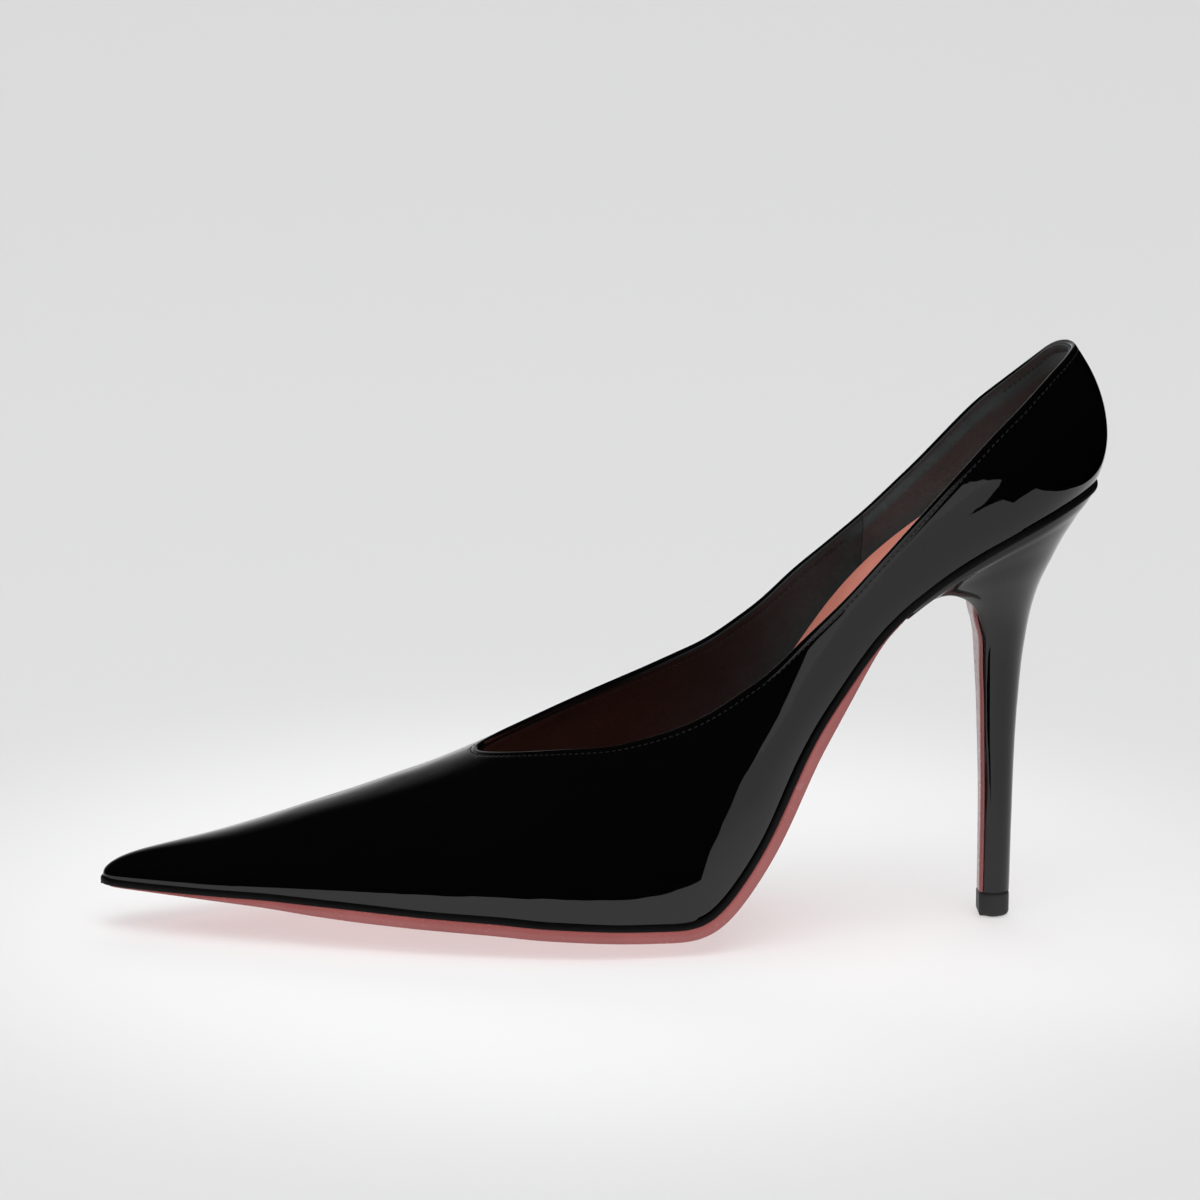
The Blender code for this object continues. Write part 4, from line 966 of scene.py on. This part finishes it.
def foam_top(a, y):
    lo = bottom_z(a, y, SOCK_LIFT)
    hi = bottom_z(a, y, SOCK_LIFT + FOAM_T)
    return lo + (hi - lo) * (0.3 + (FOAM_T - 0.3) * ramp(a, 48.0, 70.0)) / FOAM_T


def sock_low(a, y):
    lo = bottom_z(a, y, SOCK_LIFT)
    hi = bottom_z(a, y, SOCK_LIFT + FOAM_T + GAP)
    z = lo + (hi - lo) * ramp(a, 38.0, 66.0)
    return np.where(a > 47.0, np.maximum(z, foam_top(a, y) + GAP), z)


def sock_top(a, y):
    lo = bottom_z(a, y, SOCK_LIFT + SOCK_T)
    hi = bottom_z(a, y, SOCK_LIFT + FOAM_T + GAP + SOCK_T)
    z = lo + (hi - lo) * ramp(a, 38.0, 66.0)
    return np.maximum(z, sock_low(a, y) + SOCK_T)


def flat_inset(d):
    return lambda a: 0.0 * np.asarray(a, float) + d


def bed(d):
    return lambda a, y: bottom_z(a, y, d)


slab("rand_strip", RAND, ("rand",), flat_inset(-0.55),
     bed(RAND_TOP), bed(RAND_BOT), edge=0.7,
     square=0.7, n=4, ring=MARGIN)
slab("outsole_leather", SOLE, ("outsole",), sole_in,
     bed(SOLE_TOP), sole_bot, end=SOLE_END, edge=0.7, square=0.55, n=14)
slab("sock_leather_cover", SOCK, ("sock",), sock_edge, sock_top, sock_low,
     start=30.0, edge=0.35, n=12, swell=0.25)
cushion = slab("sock_cushion", FOAM, ("sock_foam",), sock_edge, foam_top,
               bed(SOCK_LIFT), start=48.0, edge=0.6, square=0.8, n=6,
               swell=0.15)
slab("forefoot_filler", CORK, ("bottom_filler",), flat_inset(MARGIN + GAP + 0.25),
     bed(UPPER_T), bed(RAND_BOT), start=26.0,
     end=112.0, edge=0.5, n=5)

# ---------------------------------------------------------------- heel
# front edge (station, height, half width), back line (station, height),
# station where the round back begins, half width there
HEEL = [
    ((193.4, None, 23.4), (240.2, None), 215.0, 23.4),
    ((193.9, 79.9, 23.0), (239.0, 104.4), 215.0, 23.0),
    ((195.5, 81.2, 22.3), (237.6, 102.6), 215.0, 22.4),
    ((197.8, 82.8, 21.3), (235.8, 99.9), 214.8, 21.6),
    ((200.6, 84.0, 20.0), (233.4, 96.0), 214.5, 20.4),
    ((204.1, 84.2, 17.8), (230.7, 90.6), 214.4, 18.7),
    ((207.6, 82.8, 15.0), (228.2, 85.4), 214.8, 16.3),
    ((210.2, 80.5, 12.4), (226.5, 80.6), 215.5, 13.9),
    ((212.0, 77.2, 10.3), (225.4, 76.0), 216.0, 11.6),
    ((213.2, 72.3, 8.4), (224.6, 71.0), 216.4, 9.6),
    ((213.8, 65.6, 6.8), (223.8, 65.0), 216.7, 7.9),
    ((214.3, 57.0, 5.6), (223.1, 56.4), 217.0, 6.6),
    ((214.7, 46.0, 4.7), (222.5, 46.0), 217.1, 5.6),
    ((215.1, 33.0, 3.9), (222.1, 33.0), 217.3, 4.9),
    ((215.2, 19.0, 3.5), (221.9, 19.0), 217.4, 4.5),
    ((215.2, TIP_Z, 3.3), (221.7, TIP_Z), 217.4, 4.4),
]
MEDIAL_SHARE = [0.86, 0.862, 0.868, 0.885, 0.90, 0.92, 0.95, 0.975] + [1.0] * 8
SIDE_T = np.arange(31) / 30
BACK_U = np.arange(1, 27) / 26 * math.pi / 2


def seat_loop(side):
    a = SEAT_START + (SEAT_AXIS - SEAT_START) * SIDE_T
    y = side * (at(HALF[side], a) - 0.15)
    b = at(HALF[side], SEAT_AXIS) - 0.15
    r = SEAT_RADIUS - 0.15
    a = np.concatenate([a, SEAT_AXIS + r * np.sin(BACK_U)])
    y = np.concatenate([y, side * b * np.cos(BACK_U)])
    y[-1] = 0.0
    safe = off_centre(y, side)
    return np.stack([a, y, bottom_z(a, safe, RAND_BOT - 0.05)], -1)


def heel_loop(side, k):
    """One side of heel level k from the front edge to the middle of the back."""
    (ea, ez, ey), (ba, bz), axis, w = HEEL[k]
    seat = seat_loop(side)
    if k == 0:
        return seat
    if side > 0:
        ey = ey * MEDIAL_SHARE[k]
    a = ea + (axis - ea) * SIDE_T
    y = w - (w - ey) * (1.0 - SIDE_T) ** 2
    a = np.concatenate([a, axis + (ba - axis) * np.sin(BACK_U)])
    y = np.concatenate([y, w * np.cos(BACK_U)])
    y[-1] = 0.0
    m = (a - ea) / (ba - ea)
    ms = (seat[:, 0] - seat[0, 0]) / (seat[-1, 0] - seat[0, 0])
    swell = seat[:, 2] - (seat[0, 2] + (seat[-1, 2] - seat[0, 2]) * ms)
    fade = max(0.0, 1.0 - float(ramp(k, 0.0, 7.5)))
    return np.stack([a, side * y, ez + (bz - ez) * m + swell * fade], -1)


def spline(knots, values, xs):
    """Natural cubic spline through values (n, ...) at knots, read at xs."""
    n = len(knots)
    h = np.diff(knots)
    flat = values.reshape(n, -1)
    a = np.zeros((n, n))
    rhs = np.zeros_like(flat)
    a[0, 0] = a[-1, -1] = 1.0
    for i in range(1, n - 1):
        a[i, i - 1:i + 2] = (h[i - 1], 2 * (h[i - 1] + h[i]), h[i])
        rhs[i] = 6 * ((flat[i + 1] - flat[i]) / h[i] - (flat[i] - flat[i - 1]) / h[i - 1])
    m = np.linalg.solve(a, rhs)
    i = np.clip(np.searchsorted(knots, xs, side="right") - 1, 0, n - 2)
    hi = h[i][:, None]
    u = (xs - knots[i])[:, None]
    w = hi - u
    out = (m[i] * w ** 3 + m[i + 1] * u ** 3) / (6 * hi) \
        + (flat[i] / hi - m[i] * hi / 6) * w + (flat[i + 1] / hi - m[i + 1] * hi / 6) * u
    return out.reshape((len(xs),) + values.shape[1:])


def heel_surface(side):
    loops = np.stack([heel_loop(side, k) for k in range(len(HEEL))])
    steps = np.linalg.norm(np.diff(loops, axis=0), axis=2).mean(1)
    knots = np.concatenate([[0.0], np.cumsum(np.maximum(steps, 0.8))])
    xs = np.concatenate([np.linspace(0.0, knots[6], 50), np.linspace(knots[6], knots[-1], 80)[1:]])
    surf = spline(knots, loops, xs)
    surf[0] = loops[0]
    surf[-1] = loops[-1]
    surf[:, -1, 1] = 0.0
    return surf, knots, xs


def grid_normals(p, side):
    du = np.gradient(p, axis=0)
    dv = np.gradient(p, axis=1)
    n = np.cross(du, dv)
    n = unit(n, 1e-12)
    if np.mean(n[..., 1]) * side < 0:
        n = -n
    return n


def make_wrap():
    body = Body()
    both = {}
    for side in (-1, 1):
        outer, knots, xs = heel_surface(side)
        n = grid_normals(outer, side)
        n[:, -1, 1] = 0.0
        n[:, -1] /= np.linalg.norm(n[:, -1], axis=1, keepdims=True)
        lift = ripple(outer) * 0.05 * ramp(xs, 1.0, 12.0)[:, None]
        outer = outer + n * lift[..., None]
        inner = outer - n * WRAP_T
        inner[0, :, 2] = outer[0, :, 2]
        inner[-1, :, 2] = outer[-1, :, 2]
        # rounded front edge
        fwd = outer[:, 0] - outer[:, 1]
        fwd = unit(fwd)
        rim = []
        for th in np.linspace(0.0, math.pi, 7):
            c = 0.5 * (1 - math.cos(th))
            rim.append(outer[:, 0] + (inner[:, 0] - outer[:, 0]) * c
                       + fwd * 0.28 * math.sin(th))
        both[side] = [outer, inner, np.stack(rim, 1)]
    for g in (0, 1):
        share(both[-1][g], both[1][g], (slice(None), -1))
        for side in (-1, 1):
            both[side][g][:, -1, 1] = 0.0
    for side in (-1, 1):
        outer, inner, rim = both[side]
        rim[:, 0] = outer[:, 0]
        rim[:, -1] = inner[:, 0]
        body.grid(outer, flip=side > 0)
        body.grid(inner, flip=side < 0)
        body.grid(rim)
        for k in (0, -1):
            body.grid(np.stack([outer[k], inner[k]]))
            body.lid(rim[k])
    return body.build("heel_wrap_patent", PATENT_HEEL, ("heel_wrap",), 50.0)


make_wrap()

BREAST_FIRST = 4
BREAST_OUT = [None, None, None, None, 0.3, 0.4, 0.4, 0.0, -1.2, -1.2, -1.2, -1.2, -1.2, -1.2,
              -1.2, -1.2]
BREAST_IN = [1.6, 1.6, 1.6, 1.6, 1.6, 1.7, 1.9, 2.1, 1.2, 0.1, 0.1, 0.1, 0.1, 0.1, 0.1, 0.1]
BREAST_START = SOLE_END + 0.1


def contour(k, off):
    """Front edge of level k moved by off into the heel, in the side plane."""
    last = len(HEEL) - 1

    def raw(i):
        ea, ez = HEEL[i][0][:2]
        return ea, (float(bottom_z(ea, -20.0, RAND_BOT - GAP)) if ez is None else ez)

    p0, p1 = raw(max(k - 1, 1)), raw(min(k + 1, last))
    ta, tz = p1[0] - p0[0], p1[1] - p0[1]
    ln = math.hypot(ta, tz)
    a, z = raw(k)
    return a - tz / ln * off, z + ta / ln * off


def make_breast():
    knots = [0.0]
    grids = []
    cols = np.linspace(0.0, 1.0, 25)
    for k in range(BREAST_FIRST, len(HEEL)):
        sheet = []
        for extra in (0.0, BREAST_T):
            a, z = contour(k, BREAST_OUT[k] + extra)
            a = max(a, BREAST_START)
            lat = HEEL[k][0][2]
            med = lat * MEDIAL_SHARE[k]
            inn = BREAST_IN[k]
            y = -(lat - inn) + (lat + med - 2 * inn) * cols
            sheet.append(np.stack([np.full(25, a), y, np.full(25, z)], -1))
        grids.append(np.stack(sheet))
        if k > BREAST_FIRST:
            knots.append(knots[-1] + max(np.linalg.norm(grids[-1][0, 12] - grids[-2][0, 12]), .8))
    knots = np.array(knots)
    xs = np.concatenate([np.linspace(0.0, knots[6], 50), np.linspace(knots[6], knots[-1], 60)[1:]])
    skin = spline(knots, np.stack(grids), xs)
    skin[..., 0] = np.maximum(skin[..., 0], BREAST_START)
    front, back = skin[:, 0], skin[:, 1]
    fwd = front - back
    fwd = unit(fwd)
    # softly rolled side edges
    width = np.abs(front[:, -1, 1] - front[:, 0, 1])[:, None]
    off = np.minimum(cols, 1 - cols)[None, :] * width
    roll = 0.45 * (1.0 - np.sqrt(np.clip(off / 0.9, 0.0, 1.0)))
    front = front - fwd * roll[..., None]
    body = Body()
    body.grid(front)
    body.grid(back, flip=True)
    for k in (0, -1):
        body.grid(np.stack([front[k], back[k]]))
        body.grid(np.stack([front[:, k], back[:, k]], 1))
    return body.build("breast_leather", BREAST_CORAL_SHADED, ("breast_cover",), 50.0)


make_breast()


# height and how far the edge steps in there
LIFT_PROFILE = [(0.0, 1.05), (0.06, 0.75), (0.2, 0.45), (0.42, 0.2), (0.75, 0.05), (1.2, 0.0),
                (3.0, 0.0), (5.2, 0.0), (5.6, 0.05), (5.85, 0.2), (LIFT_H, 0.45)]
LIFT_FRONT = 214.0        # station of its front face
LIFT_MID = 218.2          # station it shrinks towards
LIFT_REACH = 3.9          # distance over which it would shrink to nothing
LIFT_HALF = 3.1           # half width of its front face


def make_lift():
    """Rubber top lift with a rounded tread edge and a fine parting groove at its top."""
    body = Body()
    sides = {}
    for side in (-1, 1):
        ring = []
        a, y, _ = heel_loop(side, len(HEEL) - 1).T
        for z, inn in LIFT_PROFILE:
            k = 1.0 - inn / LIFT_REACH
            pa = np.maximum(LIFT_MID + (a - LIFT_MID) * k, LIFT_FRONT + 0.15 + inn)
            row = np.stack([pa, y * k, np.full(len(a), z)], -1)
            front = LIFT_FRONT + inn
            corner = np.array([[front, 0.0, z],
                               [front, side * max(LIFT_HALF + 0.15 - inn, 0.4) * 0.5, z],
                               [front, side * max(LIFT_HALF - inn, 0.4), z]])
            ring.append(np.concatenate([corner, row]))
        sides[side] = np.stack(ring)
        sides[side][:, -1, 1] = 0.0
    for side in (-1, 1):
        body.grid(sides[side], flip=side > 0)
        for k in (0, -1):
            row = sides[side][k]
            centre = row.copy()
            centre[:, 1] = 0.0
            body.grid(np.stack([row, centre]))
    return body.build("top_lift_rubber", LIFT, ("top_lift",), 40.0)


make_lift()


# ---------------------------------------------------------------- stitches
def surface_tree(ob):
    mesh = ob.data
    return BVHTree.FromPolygons([v.co.copy() for v in mesh.vertices],
                                [tuple(p.vertices) for p in mesh.polygons])


def resample(p, pitch, skip=0.5):
    d = np.concatenate([[0.0], np.cumsum(np.linalg.norm(np.diff(p, axis=0), axis=1))])
    count = int((d[-1] - 2 * skip) / pitch)
    s = skip + (d[-1] - 2 * skip - count * pitch) / 2 + pitch * np.arange(count + 1)
    out = np.stack([np.interp(s, d, p[:, k]) for k in range(3)], -1)
    fwd = np.stack([np.interp(s + 0.3, d, p[:, k]) for k in range(3)], -1) \
        - np.stack([np.interp(s - 0.3, d, p[:, k]) for k in range(3)], -1)
    return out, fwd / np.linalg.norm(fwd, axis=1, keepdims=True)


def stitch_row(name, line, target, mat, pitch=1.6, length=1.15, radius=0.17, slant=0.10):
    """Thread stitches lying in the surface of target along line, as one mesh of closed beads."""
    tree = surface_tree(target)
    on = []
    for q in to_row(line):
        hit = tree.find_nearest(Vector(q))
        on.append(np.array(hit[0]) * 1e3)
    on = np.array(on)
    spots, fwd = resample(on, pitch)
    bm = bmesh.new()
    sides = 8
    for q, t in zip(spots, fwd):
        hit = tree.find_nearest(Vector(q * 1e-3))
        n = np.array(hit[1])
        across = np.cross(n, t)
        across /= np.linalg.norm(across)
        t = t * math.cos(slant) + across * math.sin(slant)
        across = np.cross(n, t)
        rings = []
        for u in np.linspace(-1.0, 1.0, 7):
            thick = radius * math.sqrt(max(1.0 - abs(u) ** 3.2, 0.0))
            arch = 0.10 * (1.0 - u * u) - 0.05
            centre = q + t * (u * length / 2) + n * arch
            if thick < 1e-4:
                rings.append([bm.verts.new(Vector(centre * 1e-3))])
                continue
            rings.append([bm.verts.new(Vector((centre + (across * math.cos(w)
                                                         + n * math.sin(w)) * thick) * 1e-3))
                          for w in np.linspace(0, 2 * math.pi, sides + 1)[:-1]])
        for one, two in zip(rings[:-1], rings[1:]):
            for k in range(sides):
                j = (k + 1) % sides
                if len(one) == 1:
                    bm.faces.new((one[0], two[k], two[j]))
                elif len(two) == 1:
                    bm.faces.new((one[k], two[0], one[j]))
                else:
                    bm.faces.new((one[k], two[k], two[j], one[j]))
    bmesh.ops.recalc_face_normals(bm, faces=bm.faces)
    mesh = bpy.data.meshes.new(name)
    bm.to_mesh(mesh)
    bm.free()
    return place(name, mesh, mat, (), 60.0)


stitch_row("topline_stitches", LOOP_P + LOOP_B * STITCH_IN, UPPER, THREAD)
# the same seam seen from inside, on the lining, 2 mm under the edge
HEEL_LINING = bpy.data.objects["heel_lining_leather"]
VAMP_LINING = bpy.data.objects["vamp_lining_leather"]
LOOP_RUN = np.concatenate([EDGE[-1][0][::-1], EDGE[1][0][1:]])
INSIDE = LOOP_P + LOOP_B * 1.9 - LOOP_N * (UPPER_T + 0.3 + LINING_T)
lat = np.arange(len(LOOP_RUN)) < LOOP_MID
stitch_row("lining_stitches_vamp", INSIDE[LOOP_RUN < LINING_JOINT - 0.8], VAMP_LINING, THREAD)
for label, pick in (("lateral", lat), ("medial", ~lat)):
    stitch_row("lining_stitches_" + label, INSIDE[pick & (LOOP_RUN > LINING_JOINT + 1.0)],
               HEEL_LINING, THREAD)
for label, side in (("lateral", -1), ("medial", 1)):
    v = np.linspace(float(top_v(side, LINING_JOINT + 1.6)) - 0.04, 0.16, 60)
    run = np.full(60, LINING_JOINT + 1.6)
    line = wall(side, run, v) - wall_normal(side, run, v) * (UPPER_T + GAP + LINING_T + 0.3)
    stitch_row("lining_seam_" + label, line, HEEL_LINING, THREAD)

# ---------------------------------------------------------------- carried-over CAD nodes
KEPT = {"heel_block": PLASTIC, "insole_board": BOARD, "waist_filler": CORK}
for node in ("shank", "shank_rivet_front", "shank_rivet_rear", "heel_tube", "heel_screw",
             "heel_nail_1", "heel_nail_2", "heel_nail_3", "heel_nail_4", "top_lift_pin"):
    KEPT[node] = STEEL
for node, mat in KEPT.items():
    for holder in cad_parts[node].material_slots:
        holder.material = mat

# ---------------------------------------------------------------- studio
def stage_mesh(name, verts, faces, mat):
    mesh = bpy.data.meshes.new(name)
    mesh.from_pydata(verts, [], faces)
    ob = bpy.data.objects.new(name, mesh)
    bpy.context.scene.collection.objects.link(ob)
    mesh.materials.append(mat)
    mesh.shade_smooth()
    return ob


def disc(name, radius, z, mat, seg=96):
    verts = [(0.0, 0.0, z)] + [(radius * math.cos(2 * math.pi * k / seg),
                                radius * math.sin(2 * math.pi * k / seg), z) for k in range(seg)]
    faces = [(0, k + 1, (k + 1) % seg + 1) for k in range(seg)]
    return stage_mesh(name, verts, faces, mat)


PAPER = Nodes("floor_paper", 0.9, (0.80, 0.80, 0.80)).mat
BLACK = Nodes("black_card", 1.0, (0.0, 0.0, 0.0), ior=1.0).mat
disc("floor", 9.0, -0.0002, PAPER)


def glossy_only(ob):
    """The card shows in reflections and nowhere else."""
    for ray in ("camera", "diffuse", "shadow", "transmission", "volume_scatter"):
        setattr(ob, "visible_" + ray, False)


DOME_R = 3.0
WALL_LIGHT = 0.95


def glow(name, strength=1.0):
    """Black card that shines white."""
    m = Nodes(name, 1.0, (0.0, 0.0, 0.0))
    m.set(m.out, "Specular IOR Level", 0.0)
    m.set(m.out, "Emission Color", (1.0, 1.0, 1.0, 1.0))
    m.set(m.out, "Emission Strength", strength)
    return m


def dome_glow():
    """Soft band of light low behind the shoe, fading to black upwards and to the sides."""
    m = glow("dome_glow")
    up = m.span(m.along(2), 0.0, 0.62 * DOME_R, 1.0, 0.0)
    back = m.span(m.along(1), 0.35 * DOME_R, 0.85 * DOME_R, 0.0, 1.0)
    m.link(m.blend(m.blend(up, up, "MULTIPLY"), back, "MULTIPLY"),
           m.out.inputs["Emission Strength"])
    return m.mat


def flag_dome():
    """Dome that the patent leather reflects instead of the bare world."""
    seg, rings = 96, 24
    verts = []
    for j in range(rings + 1):
        e = math.pi / 2 * j / rings - 0.02
        for k in range(seg):
            phi = 2 * math.pi * k / seg
            verts.append((DOME_R * math.cos(phi) * math.cos(e),
                          DOME_R * math.sin(phi) * math.cos(e), DOME_R * math.sin(e)))
    faces = []
    for j in range(rings):
        for k in range(seg):
            i = (k + 1) % seg
            faces.append((j * seg + k, j * seg + i, (j + 1) * seg + i, (j + 1) * seg + k))
    glossy_only(stage_mesh("flag_dome", verts, faces, dome_glow()))


CURTAIN = [(-0.45, 0.20), (-0.16, -0.055), (-0.10, -0.080), (-0.04, -0.072), (0.0, -0.066),
           (0.020, -0.062), (0.042, -0.067)]
CARD_Y = -0.145
CARD = [(0.100, 0.072), (0.12, 0.066), (0.15, 0.048), (0.22, 0.045), (0.22, 0.6), (-0.3, 0.6),
        (-0.3, 0.1235), (0.065, 0.1235), (0.085, 0.108), (0.100, 0.100)]
SIDE_X = 0.22
SIDE = [(CARD_Y, 0.045), (0.40, 0.055), (0.40, 0.6), (CARD_Y, 0.6)]
GLOW_Y = -1.6


def flag_curtain():
    """Black cards round the near side and one grey wall, seen only in reflections."""
    verts = []
    for x, y in CURTAIN:
        verts += [(x, y, 0.0), (x, y, 0.5)]
    faces = [(2 * k, 2 * k + 2, 2 * k + 3, 2 * k + 1) for k in range(len(CURTAIN) - 1)]
    glossy_only(stage_mesh("flag_curtain", verts, faces, BLACK))
    glossy_only(stage_mesh("flag_card", [(x, CARD_Y, z) for x, z in CARD],
                           [tuple(range(len(CARD)))], BLACK))
    glossy_only(stage_mesh("flag_side", [(SIDE_X, y, z) for y, z in SIDE],
                           [tuple(range(len(SIDE)))], BLACK))
    wall = [(-0.6, GLOW_Y, 0.0), (1.6, GLOW_Y, 0.0), (1.6, GLOW_Y, 0.5), (-0.6, GLOW_Y, 0.5)]
    glossy_only(stage_mesh("flag_wall", wall, [(0, 1, 2, 3)],
                           glow("wall_glow", WALL_LIGHT).mat))


flag_dome()
flag_curtain()


def aimed(name, data, at_m, look):
    """Places a lamp or camera at at_m, looking at look."""
    ob = bpy.data.objects.new(name, data)
    bpy.context.scene.collection.objects.link(ob)
    ob.location = at_m
    ob.rotation_mode = "QUATERNION"
    ob.rotation_quaternion = (Vector(look) - Vector(at_m)).to_track_quat("-Z", "Y")
    return ob


def area(name, at_m, look, size, power, casts=True):
    """Soft box of that size in metres and power in watts, not seen in reflections."""
    data = bpy.data.lights.new(name, "AREA")
    data.shape = "ELLIPSE"
    data.size, data.size_y = size
    data.energy = power
    data.use_shadow = casts
    aimed(name, data, at_m, look).visible_glossy = False


def pool(name, at_m, look, angle, power):
    """Soft-edged round pool of light without shadows, not seen in reflections."""
    data = bpy.data.lights.new(name, "SPOT")
    data.energy = power
    data.spot_size = math.radians(angle)
    data.spot_blend = 1.0
    data.shadow_soft_size = 0.05
    data.use_shadow = False
    aimed(name, data, at_m, look).visible_glossy = False


area("front_key", (0.0, -2.2, 3.6), (0.0, 0.0, 0.0), (4.6, 3.6), 36.0)
area("overhead", (0.0, -1.1, 5.0), (0.0, -1.1, 0.0), (6.0, 6.0), 208.0, casts=False)
area("back_wide", (0.0, 3.4, 2.4), (0.0, 2.2, 0.0), (4.0, 2.4), 31.0)
pool("front_pool", (0.0, -0.6, 2.0), (0.0, 0.01, 0.0), 12.0, 55.0)

SKY_TONE = (0.97, 0.97, 1.0, 1.0)
SKY_STRENGTH = 0.165
world = bpy.data.worlds.new("studio")
world.use_nodes = True
sky = world.node_tree.nodes["Background"].inputs
sky["Color"].default_value = SKY_TONE
sky["Strength"].default_value = SKY_STRENGTH
scene = bpy.context.scene
scene.world = world
scene.view_settings.view_transform = "Standard"
scene.view_settings.look = "None"

# ---------------------------------------------------------------- camera
TARGET = (-0.00018, 0.00057, 0.07988)
EYE = (-0.05330, -1.21623, 0.36107)
cam = bpy.data.cameras.new("camera")
cam.sensor_width = 36.0
cam.lens = 155.25
cam.clip_start = 0.01
cam.clip_end = 50.0
scene.camera = aimed("camera", cam, EYE, TARGET)
